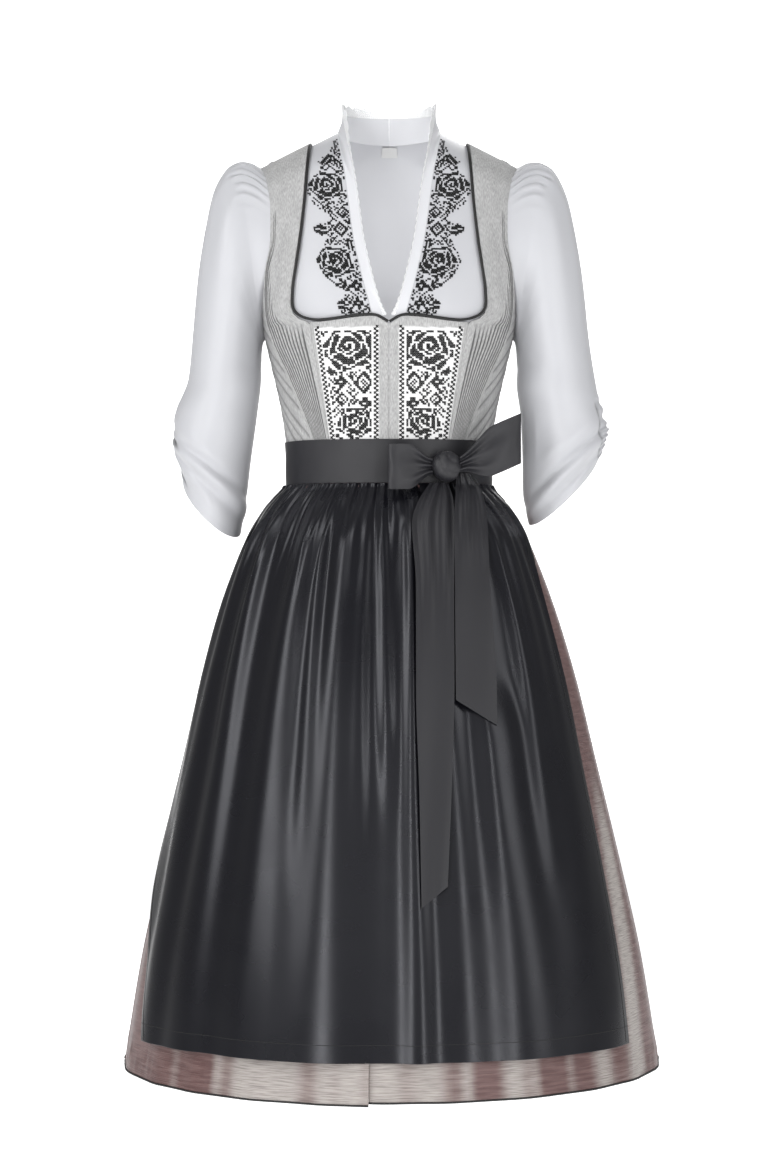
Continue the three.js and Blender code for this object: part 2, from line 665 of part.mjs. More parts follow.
// Sleeve sections: x and z of the inner and the outer side, and half the depth, seen from the front.
const SLEEVES = {
  right: [
    { at: 0, innerX: 144, innerZ: -203, outerX: 164, outerZ: 1, depth: 63, droop: 0 },
    { at: 0.08, innerX: 145, innerZ: -206, outerX: 187, outerZ: -8, depth: 66, droop: 0 },
    { at: 0.16, innerX: 145.5, innerZ: -209, outerX: 203, outerZ: -35, depth: 68, droop: 0 },
    { at: 0.24, innerX: 146, innerZ: -213, outerX: 213, outerZ: -75, depth: 68, droop: 0 },
    { at: 0.34, innerX: 146.5, innerZ: -219, outerX: 222, outerZ: -128, depth: 66, droop: 0 },
    { at: 0.46, innerX: 147.5, innerZ: -235, outerX: 230, outerZ: -198, depth: 63, droop: 0 },
    { at: 0.58, innerX: 148.5, innerZ: -258, outerX: 236.5, outerZ: -242, depth: 60, droop: 2 },
    { at: 0.68, innerX: 152, innerZ: -295, outerX: 242, outerZ: -274, depth: 58, droop: 4 },
    { at: 0.78, innerX: 152.5, innerZ: -330, outerX: 249.5, outerZ: -303, depth: 56, droop: 7 },
    { at: 0.89, innerX: 153, innerZ: -375, outerX: 246, outerZ: -324, depth: 54, droop: 10 },
    { at: 1, innerX: 160, innerZ: -413, outerX: 239, outerZ: -339, depth: 52, droop: 13 },
  ],
  left: [
    { at: 0, innerX: 144, innerZ: -203, outerX: 163, outerZ: 1, depth: 63, droop: 0 },
    { at: 0.08, innerX: 145, innerZ: -206, outerX: 183, outerZ: -5, depth: 66, droop: 0 },
    { at: 0.16, innerX: 145.5, innerZ: -209, outerX: 200, outerZ: -29, depth: 68, droop: 0 },
    { at: 0.24, innerX: 146, innerZ: -213, outerX: 210, outerZ: -70, depth: 68, droop: 0 },
    { at: 0.34, innerX: 146.5, innerZ: -219, outerX: 219, outerZ: -125, depth: 66, droop: 0 },
    { at: 0.46, innerX: 147, innerZ: -235, outerX: 226, outerZ: -196, depth: 63, droop: 0 },
    { at: 0.58, innerX: 149, innerZ: -258, outerX: 231, outerZ: -246, depth: 60, droop: 2 },
    { at: 0.68, innerX: 153, innerZ: -298, outerX: 244, outerZ: -284, depth: 58, droop: 4 },
    { at: 0.78, innerX: 158, innerZ: -340, outerX: 246.5, outerZ: -318, depth: 56, droop: 8 },
    { at: 0.89, innerX: 163, innerZ: -385, outerX: 239, outerZ: -346, depth: 54, droop: 12 },
    { at: 1, innerX: 170, innerZ: -424, outerX: 236, outerZ: -366, depth: 52, droop: 18 },
  ],
};
const CAP_GATHERS = 11;
const RUCHES = 9;

// A ring round the arm: 0 is the outer side, a quarter on the front, a half the inner side.
function sleevePoint(rows, round, at) {
  const turn = round * 2 * Math.PI;
  const value = (want) => read(rows, "at", want, at);
  const [ix, iz, ox, oz] = ["innerX", "innerZ", "outerX", "outerZ"].map(value);
  const across = Math.cos(turn);
  const lift = 0.5 + 0.5 * across;
  const sag = value("droop") * Math.max(Math.sin(turn), 0);
  const crown = step(across, 0.1, 0.8) * (1 - step(at, 0.03, 0.3));
  const gather = 2.6 * crown * Math.cos(round * CAP_GATHERS * 4 * Math.PI);
  const ruche = step(across, 0.72, 1) * step(at, 0.6, 0.7) * (1 - step(at, 0.93, 1));
  const ripple = 3 * ruche * Math.cos(at * RUCHES * 2.6 * 2 * Math.PI);
  const push = 1 + (gather + ripple) / 60;
  return new THREE.Vector3(
    mix(ix, ox, lift) + (ox - ix) * 0.5 * across * (push - 1),
    -value("depth") * Math.sin(turn) * push - 3 * step(at, 0.4, 1),
    mix(iz, oz, lift) - sag + (oz - iz) * 0.5 * across * (push - 1),
  );
}

// The edge that the sleeve is set into: round the armhole from the ridge, by the front, and back.
const ARMHOLE_MIDDLE = { angle: 90, z: -90 };
const ARMHOLE_INSET = { angle: 0.035, z: 0.015, depth: 0.2 };
const ARMHOLE_TOP = ridgeHeight(147) - 0.01;
const ARMHOLE_FOOT = -200;
function armholePoint(round) {
  const place = ((round % 1) + 1) % 1;
  const front = place < 0.5;
  const z = mix(ARMHOLE_TOP, ARMHOLE_FOOT, front ? place * 2 : (1 - place) * 2);
  const angle = mix(Math.min(armholeAngle(z), 90), ARMHOLE_MIDDLE.angle, ARMHOLE_INSET.angle);
  const inside = mix(z, ARMHOLE_MIDDLE.z, ARMHOLE_INSET.z);
  return onBody(front ? angle : 180 - angle, inside, ARMHOLE_INSET.depth);
}

const SLEEVE_COLUMNS = 26;
// The sleeve's columns lie closer at its outer and inner side, where it turns
const SLEEVE_CLOSER = 0.45;
const SLEEVE_STATIONS = [-0.05, 0.03, 0.1, 0.2, 0.34, 0.5, 0.66, 0.78, 0.89, 1];

function sleeve(side, hand) {
  const rows = SLEEVES[hand];
  const point = (u, v) => {
    const round = u - (SLEEVE_CLOSER * Math.sin(4 * Math.PI * u)) / (4 * Math.PI);
    const at = ladder(SLEEVE_STATIONS, v);
    const set = sleevePoint(rows, round, Math.max(at, 0));
    const p = armholePoint(round).lerp(set, step(at, SLEEVE_STATIONS[0], SLEEVE_STATIONS[1]));
    return new THREE.Vector3(side * p.x, p.y, p.z);
  };
  const spans = SLEEVE_STATIONS.length - 1;
  sheet(`sleeve_${hand}`, COLOURS.cotton, SLEEVE_COLUMNS, spans, point, side * -BLOUSE_WALL, true);
}

// Soft folds down the skirt: small in front, where the apron lies on them, deep behind.
const SKIRT_FOLDS = 24;
function skirtFold(angle, z) {
  const behind = step(Math.abs(angle), 75, 120);
  const fallen = step(-z, 369, 900);
  const wobble = 5 * Math.sin(radians(angle * 3 + 40)) + 3 * Math.sin(radians(angle * 7));
  const wave = 0.5 + 0.5 * Math.cos(radians((angle + wobble * 0.4) * SKIRT_FOLDS));
  const height = mix(mix(0.4, 2, fallen), mix(1.5, 13, fallen), behind);
  return height * wave ** 1.3 * step(-z, 369, 385);
}

// The bell at an angle; its left side hangs a little closer than its right.
function bellPoint(angle, z, out) {
  const turn = radians(angle);
  const lean = 3 * (Math.sin(turn) - 1) * step(-z, 369, 425);
  const away = out + lean;
  const depth = read(FLARE, "z", Math.cos(turn) >= 0 ? "front" : "back", z) + away;
  const square = 1 + CHEST_SQUARENESS * Math.sin(turn) ** 2 * (1 - step(-z, 369, 600));
  const half = read(FLARE, "z", "half", z) + away;
  return new THREE.Vector3(half * Math.sin(turn), -depth * Math.cos(turn) * square, z);
}

const signed = (angle) => (angle > 180 ? angle - 360 : angle);
const skirtPoint = (angle, z) => bellPoint(angle, z, skirtFold(signed(angle), z));

// The front opening of the skirt hangs a little to one side; its left edge lies in front.
const OPENING_ANGLE = -4;
const LAP = 4;
const SKIRT_HEIGHTS = [WAIST_SEAM - SEAM_GAP, -369, -382, -400, -440, -540, -720, SKIRT_HEM];

function skirtPanel(name, from, to, columns, lap) {
  const point = (u, v) => {
    const z = ladder(SKIRT_HEIGHTS, v);
    const margin = degrees(SEAM_GAP / 2 / read(FLARE, "z", "half", z));
    const p = skirtPoint(mix(from + margin, to - margin, u), z);
    return p.setY(p.y - lap * step(u, 0.82, 1) * step(-z, 420, 700));
  };
  sheet(name, COLOURS.taffeta, columns, SKIRT_HEIGHTS.length - 1, point, SKIRT_WALL);
}

function skirt() {
  skirtPanel("skirt_front_left", -90, OPENING_ANGLE, 16, LAP);
  skirtPanel("skirt_front_right", OPENING_ANGLE, 90, 18, 0);
  skirtPanel("skirt_back_right", 90, 180, 28, 0);
  skirtPanel("skirt_back_left", 180, 270, 28, 0);
}

// Main folds of the apron: angle at the band and at the hem, width in degrees, height, and where they fade.
const APRON_FOLDS = [
  { top: -96, hem: -60, wide: 5, high: 5, from: 0, to: 0.5 },
  { top: -82, hem: -58, wide: 5, high: 5, from: 0, to: 0.8 },
  { top: -66, hem: -55, wide: 4, high: 5, from: 0, to: 1 },
  { top: -52, hem: -46, wide: 7, high: 7, from: 0.1, to: 1 },
  { top: -41, hem: -29, wide: 3, high: 8, from: 0, to: 1 },
  { top: -35, hem: -27, wide: 2.5, high: 5, from: 0, to: 0.55 },
  { top: -30, hem: -21.5, wide: 4, high: 8, from: 0, to: 1 },
  { top: -21, hem: -12, wide: 5.5, high: 8, from: 0.05, to: 1 },
  { top: -12, hem: -3, wide: 3.5, high: 6, from: 0, to: 0.5 },
  { top: -2, hem: -1, wide: 3, high: 4, from: 0, to: 0.4 },
  { top: 8, hem: 4.7, wide: 2.2, high: 9, from: 0, to: 1 },
  { top: 20, hem: 13, wide: 4, high: 7, from: 0.1, to: 1 },
  { top: 30, hem: 27.5, wide: 4.5, high: 8, from: 0, to: 1 },
  { top: 40, hem: 34, wide: 3, high: 5, from: 0, to: 0.45 },
  { top: 50, hem: 41, wide: 6, high: 8, from: 0, to: 1 },
  { top: 62, hem: 50, wide: 3.5, high: 6, from: 0, to: 0.6 },
  { top: 74, hem: 55, wide: 4, high: 5, from: 0, to: 0.9 },
];
const APRON_EDGES = [
  { z: -369, left: -100, right: 80 },
  { z: -420, left: -96, right: 74 },
  { z: -540, left: -92, right: 67 },
  { z: -700, left: -91, right: 64 },
  { z: -800, left: -84, right: 62 },
  { z: -900, left: -70, right: 60 },
  { z: -985, left: -62, right: 58.5 },
];
const APRON_TOP_LIFT = 3.4;
const APRON_LIFT = 6;
const FOLD_LIMIT = 8;
const GATHER_PITCH = 5.4;
const GATHER_HEIGHT = 1.6;
const APRON_COLUMNS = 78;

function apronRelief(angle, z) {
  const fallen = (BAND_FOOT - z) / (BAND_FOOT - APRON_HEM);
  let height = 0;
  for (const fold of APRON_FOLDS) {
    const middle = mix(fold.top, fold.hem, Math.sqrt(fallen));
    const wide = fold.wide * (0.75 + 0.4 * fallen);
    const starts = step(fallen, fold.from - 0.02, fold.from + 0.12);
    const lives = starts * (1 - step(fallen, fold.to, fold.to + 0.3));
    height += fold.high * lives * Math.exp(-(((angle - middle) / wide) ** 2));
  }
  const wave = Math.cos((angle / GATHER_PITCH) * 2 * Math.PI);
  const gathers = GATHER_HEIGHT * (1 - step(fallen, 0.03, 0.22)) * wave;
  return Math.min(height, FOLD_LIMIT) * step(fallen, 0, 0.1) + gathers * step(fallen, -0.01, 0.02);
}

function apronPoint(angle, z) {
  const fallen = step(-z, 369, 420);
  return bellPoint(angle, z, mix(APRON_TOP_LIFT, APRON_LIFT, fallen) + apronRelief(angle, z));
}

const APRON_HEIGHTS = [BAND_FOOT - SEAM_GAP, -382, -400, -440, -540, -720, -850, APRON_HEM];
const BAND_COLUMNS = 56;
const BAND_LIFT = 0.5;

function apron() {
  const point = (u, v) => {
    const z = ladder(APRON_HEIGHTS, v);
    const left = read(APRON_EDGES, "z", "left", z);
    const right = read(APRON_EDGES, "z", "right", z);
    return apronPoint(mix(left, right, u), z);
  };
  sheet("apron_panel", COLOURS.satin, APRON_COLUMNS, APRON_HEIGHTS.length - 1, point, APRON_WALL);
  const bandOut = BAND_LIFT + BAND_WALL;
  const bandPoint = (u, v) => onBody(signed(360 * u), mix(BAND_TOP, BAND_FOOT, v), -bandOut);
  sheet("apron_band", COLOURS.satin, BAND_COLUMNS, 1, bandPoint, BAND_WALL, true);
}

// Bow: the knot lies on the band, right of the centre
const KNOT = { x: 64, y: -98.4, z: -351, wide: 15, deep: 13, high: 17 };
const BOW_LOOPS = {
  left: { from: [49, -98, -351], to: [-1, -117, -352], start: 9, end: 25, swell: 6 },
  right: { from: [79, -97, -349], to: [148, -84, -319], start: 9, end: 28, swell: 7 },
};
const TAILS = {
  long: [
    { z: -369, left: 47, right: 66, out: 12.5 },
    { z: -390, left: 33, right: 72, out: 13.5 },
    { z: -413, left: 26, right: 73, out: 14.5 },
    { z: -480, left: 30, right: 72, out: 15.4 },
    { z: -590, left: 29.7, right: 71.5, out: 15.4 },
    { z: -697, left: 33, right: 68, out: 15.4 },
    { z: -803, left: 35, right: 63, out: 15.4 },
  ],
  short: [
    { z: -362, left: 76.4, right: 95, out: 23 },
    { z: -375, left: 75, right: 106, out: 19 },
    { z: -413, left: 73, right: 110, out: 16 },
    { z: -480, left: 73, right: 112, out: 15.4 },
    { z: -568, left: 73, right: 118, out: 15.4 },
    { z: -607, left: 73, right: 118, out: 15.4 },
  ],
};
const TAIL_SLANTS = { long: { left: -22, right: 0 }, short: { left: 0, right: -28 } };

// Half the distance between the front and the back of a loop where they leave the knot
const LOOP_PART = 3;
function bowLoop(hand) {
  const loop = BOW_LOOPS[hand];
  const point = (u, v) => {
    const way = 2 * u - 1;
    const reach = Math.max(1 - Math.abs(way) ** 1.7, 0);
    const puff = loop.swell * Math.sin(Math.PI * way) * (0.55 + 0.45 * reach);
    const half = mix(loop.start, loop.end, step(reach, 0, 0.55));
    const [x, y, z] = loop.from.map((start, k) => mix(start, loop.to[k], reach));
    const tilt = (loop.to[2] - loop.from[2]) / (loop.to[0] - loop.from[0]);
    const across = mix(half, -half, v);
    return new THREE.Vector3(x - across * tilt * 0.3, y - puff - LOOP_PART * way, z + across);
  };
  sheet(`bow_loop_${hand}`, COLOURS.satin, 18, 3, point, (hand === "left" ? 1 : -1) * BAND_WALL);
}

function bowTail(name) {
  const rows = TAILS[name];
  const slant = TAIL_SLANTS[name];
  const foot = rows[rows.length - 1].z;
  const point = (u, v) => {
    const z = mix(rows[0].z, foot, v);
    const x = mix(read(rows, "z", "left", z), read(rows, "z", "right", z), u);
    const lower = z + mix(slant.left, slant.right, u) * v * v;
    const out = read(rows, "z", "out", z);
    const half = read(FLARE, "z", "half", lower) + out;
    return bellPoint(degrees(Math.asin(x / half)), lower, out);
  };
  sheet(`bow_tail_${name}`, COLOURS.satin, 4, 10, point, APRON_WALL);
}

function bow() {
  const ball = new THREE.SphereGeometry(1, 14, 9);
  ball.scale(KNOT.wide, KNOT.deep, KNOT.high);
  ball.translate(KNOT.x, KNOT.y, KNOT.z);
  add("bow_knot", COLOURS.satin, ball);
  bowLoop("left");
  bowLoop("right");
  bowTail("long");
  bowTail("short");
}

// A bare label hangs inside the back of the neck
const LABEL = { left: -3.7, right: 3.3, top: 33, foot: 20.5, inside: 2.2, thick: 0.6 };
function neckLabel() {
  const sunk = BLOUSE_DEPTH + BLOUSE_WALL + LABEL.inside;
  const point = (u, v) => onBody(180 + mix(LABEL.left, LABEL.right, u), mix(LABEL.top, LABEL.foot, v), sunk);
  sheet("neck_label", COLOURS.cotton, 3, 1, point, LABEL.thick);
}

bodiceSides(-1, "left");
bodiceSides(1, "right");
bodiceBack();
neckPiping();
blouseBody();
collar();
neckLabel();
sleeve(-1, "left");
sleeve(1, "right");
skirt();
apron();
bow();

export default garment;
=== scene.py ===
# %% [markdown]
# # A dirndl, worn and tied
# A dirndl is a fitted bodice sewn to a gathered skirt, worn over a blouse and under an apron with a bow.
# Each piece of cloth below is a grid of points on a body or a bell.
# Formulas bend the grid, and then it is given its thickness.
# Lengths inside the functions are millimetres; the front faces -Y, +X is the viewer's right and +Z is up.

import bpy
import numpy as np
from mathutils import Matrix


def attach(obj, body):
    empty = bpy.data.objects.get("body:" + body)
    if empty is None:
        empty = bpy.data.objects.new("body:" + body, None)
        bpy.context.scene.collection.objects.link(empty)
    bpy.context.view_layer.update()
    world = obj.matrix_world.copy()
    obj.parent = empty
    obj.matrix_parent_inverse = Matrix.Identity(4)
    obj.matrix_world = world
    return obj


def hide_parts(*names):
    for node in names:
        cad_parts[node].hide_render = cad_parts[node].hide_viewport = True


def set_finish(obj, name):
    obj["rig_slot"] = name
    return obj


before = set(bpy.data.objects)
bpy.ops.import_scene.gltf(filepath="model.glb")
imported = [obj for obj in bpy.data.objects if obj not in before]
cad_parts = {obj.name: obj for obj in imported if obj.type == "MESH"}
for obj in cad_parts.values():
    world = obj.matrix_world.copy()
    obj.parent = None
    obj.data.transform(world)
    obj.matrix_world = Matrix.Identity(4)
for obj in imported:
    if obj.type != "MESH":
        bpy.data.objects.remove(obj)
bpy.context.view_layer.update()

# %% [markdown]
# ## The main measures
# A dressmaker starts from a few lines round the body: shoulder, bust, waist and hem.
# The tables hold those lines, and a smooth curve is read through them.
# So the whole form follows a few numbers.

# %% Measures of the body, the seams and the skirt's bell
MM = 0.001
WAIST_SEAM, BAND_TOP, BAND_FOOT = -345, -320, -369
APRON_HEM, SKIRT_HEM, BLOUSE_HEM = -985, -1027, -235
NECK_FOOT, V_FOOT, UNDERARM = -191.8, -188, -215
SEAM_GAP, BODICE_WALL, BLOUSE_WALL, BLOUSE_DEPTH = 0.35, 2, 1.2, 3.6
RIDGE_ROLL, RIDGE_Y, SHOULDER_HALF, NECK_HALF, STRAP_INNER = 45, 5, 158, 61, 92
SIDE_SEAM_TOP, BACK_SEAM_TOP, SIDE_ANGLE, BACK_STRAP_FOOT = -128, -97.8, 95, -32
BODY = np.array([
    (70, 158, 44, 56), (45, 158, 48, 62), (20, 158, 60, 72), (0, 158, 71, 80), (-50, 158, 95, 94),
    (-100, 157, 116, 100), (-150, 151.5, 132, 100), (-178, 147, 136, 98), (-207, 140.5, 129, 95),
    (-235, 134, 117, 91), (-279, 124, 101, 86), (-315, 118.5, 94, 83), (-345, 116.5, 91.5, 82),
    (-380, 116.5, 92, 82),
], float)
FLARE = np.array([
    (-330, 115.5, 90.5, 81), (-369, 116, 91, 81.5), (-382, 127, 101, 93), (-395, 139, 111, 106),
    (-421, 155, 128, 124), (-460, 172, 146, 143), (-500, 187, 163, 160), (-540, 200, 177, 174),
    (-600, 217, 195, 192), (-676, 235, 214, 211), (-807, 266, 246, 243), (-906, 288, 266, 262),
    (-1040, 310, 288, 282),
], float)
ARMHOLE = np.array([
    (10, 70), (-3, 68.5), (-25, 61.6), (-60, 58), (-95, 58.4), (-125, 64.1), (-150, 72.5), (-178, 81.5),
    (-200, 90), (-300, 90),
], float)
NECKLINE = np.array([
    (-345, 63.5), (-191.8, 88.7), (-188, 100), (-181, 107.5), (-171.5, 110.5), (-150, 109.5), (-98, 101.5),
    (-58, 97), (-9, 94), (24, 92),
], float)
SIDE_SEAM = np.array([
    (-345, 42.5), (-318, 46.6), (-290, 52.3), (-265, 57.3), (-240, 62.3), (-215, 69.3), (-191.8, 73.2),
    (-171.5, 72), (-150, 69), (-128, 65.2),
], float)
BACK_SEAM = np.array([
    (-345, 38), (-318, 42.5), (-290, 48.5), (-265, 57), (-240, 66), (-215, 79.5), (-185, 97.1),
    (-158.8, 112.1),
    (-131.2, 126.8), (-97.8, 134.6),
], float)
V_SEAM = np.array([
    (60, 62), (39.5, 61), (28, 59), (8, 55), (-12, 51), (-50, 46), (-94, 40), (-130, 32.5), (-168, 23),
    (-200, 13), (-216, 1), (-240, 1),
], float)


def mix(a, b, t):
    """a at t 0 and b at t 1: a + (b - a) t."""
    return a + (b - a) * t


def step(x, low, high):
    """Smooth step from 0 below low to 1 above high: t t (3 - 2 t)."""
    t = np.clip((x - low) / (high - low), 0, 1)
    return t * t * (3 - 2 * t)


def bump(x, middle, wide):
    """A soft hill of height 1: exp(-((x - middle) / wide)^2)."""
    return np.exp(-(((x - middle) / wide) ** 2))


def read(table, place, column=1):
    """Smooth curve through a table's rows: cubic pieces whose slopes never overshoot the rows."""
    rows = table[np.argsort(table[:, 0])]
    x, y = rows[:, 0], rows[:, column]
    at = np.clip(place, x[0], x[-1])
    i = np.clip(np.searchsorted(x, at, side="right") - 1, 0, len(x) - 2)
    run = np.diff(x)
    slope = np.diff(y) / run
    product, total = slope[:-1] * slope[1:], slope[:-1] + slope[1:]
    inner = np.where(product > 0, 2 * product / np.where(product > 0, total, 1), 0)
    tangent = np.concatenate([slope[:1], inner, slope[-1:]])
    t = (at - x[i]) / run[i]
    curve = y[i] * (1 + 2 * t) * (1 - t) ** 2 + y[i + 1] * t * t * (3 - 2 * t)
    return curve + run[i] * (tangent[i] * t * (1 - t) ** 2 - tangent[i + 1] * t * t * (1 - t))


def straight(table, z):
    """Straight lines between a table's rows, as a seam has them."""
    rows = table[np.argsort(table[:, 0])]
    return np.interp(z, rows[:, 0], rows[:, 1])


def evenly(count):
    """count + 1 shares from 0 to 1."""
    return np.linspace(0, 1, count + 1)


def vectors(x, y, z):
    """Points from their three coordinates, each an array or a number."""
    return np.stack(np.broadcast_arrays(x, y, z), -1).astype(float)


def unit(v):
    """The same directions with length 1."""
    return v / np.maximum(np.linalg.norm(v, axis=-1, keepdims=True), 1e-9)


# %% [markdown]
# ## The body that the cloth is cut for
# A bodice has no shape of its own: it takes the shape of the figure that it was cut for.
# Here the figure is a smooth surface of angle and height that rolls over a sloping shoulder ridge.
# Every panel is a part of this one surface, so that panels meet along their seams as sewn ones do.

# %% The body surface
def ridge_height(x):
    """Height of the shoulder ridge: it falls from the neck to the arm."""
    return 24 + (STRAP_INNER - np.abs(x)) * 0.5


def ridge_at(angle):
    """The ridge's height at an angle round the body."""
    return ridge_height(SHOULDER_HALF * np.sin(np.radians(angle)))


def height_at(angle, down):
    """Height after going so far down the cloth from the ridge: a quarter roll, then straight down."""
    rolled = np.minimum(down / RIDGE_ROLL, np.pi / 2)
    drop = RIDGE_ROLL * (1 - np.cos(rolled)) + np.maximum(down - RIDGE_ROLL * np.pi / 2, 0)
    return ridge_at(angle) - drop


def down_to(angle, z):
    """How far down the cloth a height is: the reverse of height_at."""
    drop = np.maximum(ridge_at(angle) - z, 0)
    rolled = RIDGE_ROLL * np.arccos(np.clip(1 - drop / RIDGE_ROLL, -1, 1))
    return np.where(drop <= RIDGE_ROLL, rolled, drop - RIDGE_ROLL + RIDGE_ROLL * np.pi / 2)


def body_point(angle, down):
    """x = half(z) sin a, y = -depth(z) cos a (1 + 0.18 sin^2 a), drawn in over the rolled ridge."""
    turn = np.radians(angle)
    z = height_at(angle, down)
    rolled = np.minimum(down / RIDGE_ROLL, np.pi / 2)
    depth = np.where(np.cos(turn) >= 0, read(BODY, z, 2), read(BODY, z, 3))
    square = 1 + 0.18 * np.sin(turn) ** 2
    y = RIDGE_Y + (-depth * np.cos(turn) * square - RIDGE_Y) * np.sin(rolled)
    return vectors(read(BODY, z, 1) * np.sin(turn), y, z)


def on_body(angle, z, depth=0.0):
    """The body's surface by angle and height, sunk by a depth along its normal."""
    angle, z, depth = np.broadcast_arrays(*(np.asarray(value, float) for value in (angle, z, depth)))
    least = np.where(np.cos(np.radians(angle)) < 0, SEAM_GAP, 0)
    down = np.maximum(down_to(angle, z), least)
    across = body_point(angle + 0.2, down) - body_point(angle - 0.2, down)
    fall = body_point(angle, down + 0.4) - body_point(angle, np.maximum(down - 0.4, 0))
    return body_point(angle, down) - unit(np.cross(fall, across)) * depth[..., None]


def angle_at(x, z):
    """Angle of the surface point that lies at x."""
    return np.degrees(np.arcsin(np.clip(x / read(BODY, z, 1), -1, 1)))


def panel_grid(left, right, top, columns, rows, sink=0.0, relief=None):
    """A panel between two seams: each column rises from the waist seam to the panel's top edge."""
    share = evenly(columns)
    z_top = np.full(share.shape, float(UNDERARM))
    for _ in range(16):
        angle = mix(left(z_top), right(z_top), share)
        z_top = mix(z_top, top(angle), 0.6)
    foot = WAIST_SEAM if sink < BLOUSE_DEPTH else BLOUSE_HEM
    far, near = down_to(angle, foot), down_to(angle, z_top)
    z = height_at(angle[:, None], mix(far[:, None], near[:, None], evenly(rows)[None, :]))
    share = share[:, None]
    at = mix(left(z), right(z), share)
    lift = 0 if relief is None else relief(share, z, at)
    return on_body(at, z, sink - lift)


print("bust depth:", round(float(body_point(np.array(0.0), np.array(230.0))[1]), 1), "mm")

# %% [markdown]
# ## From a grid to a piece of cloth
# A grid becomes a mesh with a UV map in metres along the cloth, so that weaves keep one size on every piece.
# Solidify then gives the wall its thickness inward, which also closes the cut edges as a turned hem does.

# %% Make a piece of cloth
EDGE_SHARE = 0.06
measures = {}
unstitched = {}


def measured(grid):
    """Lengths along the grid's columns and rows, and its area, in metres."""
    across = np.linalg.norm(np.diff(grid, axis=0), axis=-1) * MM
    along = np.linalg.norm(np.diff(grid, axis=1), axis=-1) * MM
    sides = np.cross(grid[1:, 1:] - grid[:-1, :-1], grid[:-1, 1:] - grid[1:, :-1])
    return across, along, np.linalg.norm(sides, axis=-1).sum() / 2 * MM * MM


def mesh_from(name, points, quads, look, uv=None, values=None):
    """A mesh of quads with its material, its UV map and any named values on its points."""
    mesh = bpy.data.meshes.new(name)
    mesh.from_pydata((points.reshape(-1, 3) * MM).tolist(), [], quads.tolist())
    if uv is not None:
        layer = mesh.uv_layers.new(name="cloth")
        layer.data.foreach_set("uv", uv.astype(np.float32).ravel())
    for title, value in (values or {}).items():
        data = mesh.attributes.new(title, "FLOAT", "POINT").data
        data.foreach_set("value", np.asarray(value, np.float32).ravel())
    mesh.polygons.foreach_set("use_smooth", np.ones(len(mesh.polygons), bool))
    mesh.materials.append(look)
    piece = bpy.data.objects.new(name, mesh)
    bpy.context.scene.collection.objects.link(piece)
    return piece


def edged(grid, loop):
    """Adds a narrow line of cells along each free edge, so that the shading turns the corner only there."""
    for axis in (1,) if loop else (0, 1):
        lines = np.moveaxis(grid, axis, 0)
        first, last = mix(lines[:1], lines[1:2], EDGE_SHARE), mix(lines[-1:], lines[-2:-1], EDGE_SHARE)
        lines = np.concatenate([lines[:1], first, lines[1:-1], last, lines[-1:]])
        grid = np.moveaxis(lines, 0, axis)
    return grid


def cloth(name, grid, thick, look, loop=False, rounded=False, values=None):
    """A piece of cloth from a grid; it faces away from the body's axis, or from its own if rounded."""
    shape = grid.shape[:2]
    values = {key: edged(np.broadcast_to(value, shape), loop) for key, value in (values or {}).items()}
    grid = edged(grid, loop)
    columns, rows = grid.shape[:2]
    order = np.arange(columns * rows).reshape(columns, rows)
    if loop:
        order = order[:-1]
        order = np.vstack([order, order[:1]])
    across, along, area = measured(grid)
    u = np.concatenate([[0], np.cumsum(across.mean(1))])[:, None] + np.zeros(rows)
    v = np.concatenate([[0], np.cumsum(along.mean(0))])[None, :] + np.zeros((columns, 1))
    uv = np.stack([u, v], -1)
    corners = ((slice(None, -1), slice(None, -1)), (slice(1, None), slice(None, -1)))
    corners += ((slice(1, None), slice(1, None)), (slice(None, -1), slice(1, None)))
    quads = np.stack([order[c] for c in corners], -1).reshape(-1, 4)
    uvs = np.stack([uv[c] for c in corners], -2).reshape(-1, 4, 2)
    centre = np.stack([grid[c] for c in corners]).mean(0)
    normal = np.cross(grid[1:, 1:] - grid[:-1, :-1], grid[:-1, 1:] - grid[1:, :-1])
    axis = centre.mean(0)[None] if rounded else centre * [0, 0, 1]
    if (normal * (centre - axis)).sum() < 0:
        quads, uvs = quads[:, ::-1], uvs[:, ::-1]
    points = grid[: columns - loop].reshape(-1, 3)
    shown = {key: value[: columns - loop] for key, value in values.items()}
    piece = mesh_from(name, points, quads, look, uvs, shown)
    wall = piece.modifiers.new("thickness", "SOLIDIFY")
    wall.thickness = thick * MM
    wall.offset = -1
    measures[name] = (float(across.sum(0).max()), float(along.sum(1).max()), float(area))
    return piece


def sewn(piece, nodes, slot, with_pieces=()):
    """Places a finished piece on the part: what it stands for, its finish, and the cut it was sewn from.

    Where the area is under 0.35 of width times length, the length given is area over width.
    """
    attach(piece, "root")
    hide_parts(*nodes)
    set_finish(piece, slot)
    wide, long, area = measures[piece.name]
    if area < 0.35 * wide * long:
        long = area / wide
    for trim in with_pieces:
        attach(trim, "root")
        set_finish(trim, slot if "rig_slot" not in trim else trim["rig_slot"])
    print(f"{piece.name}: cut from {wide:.3f} x {long:.3f} m, area {area:.4f} m2")


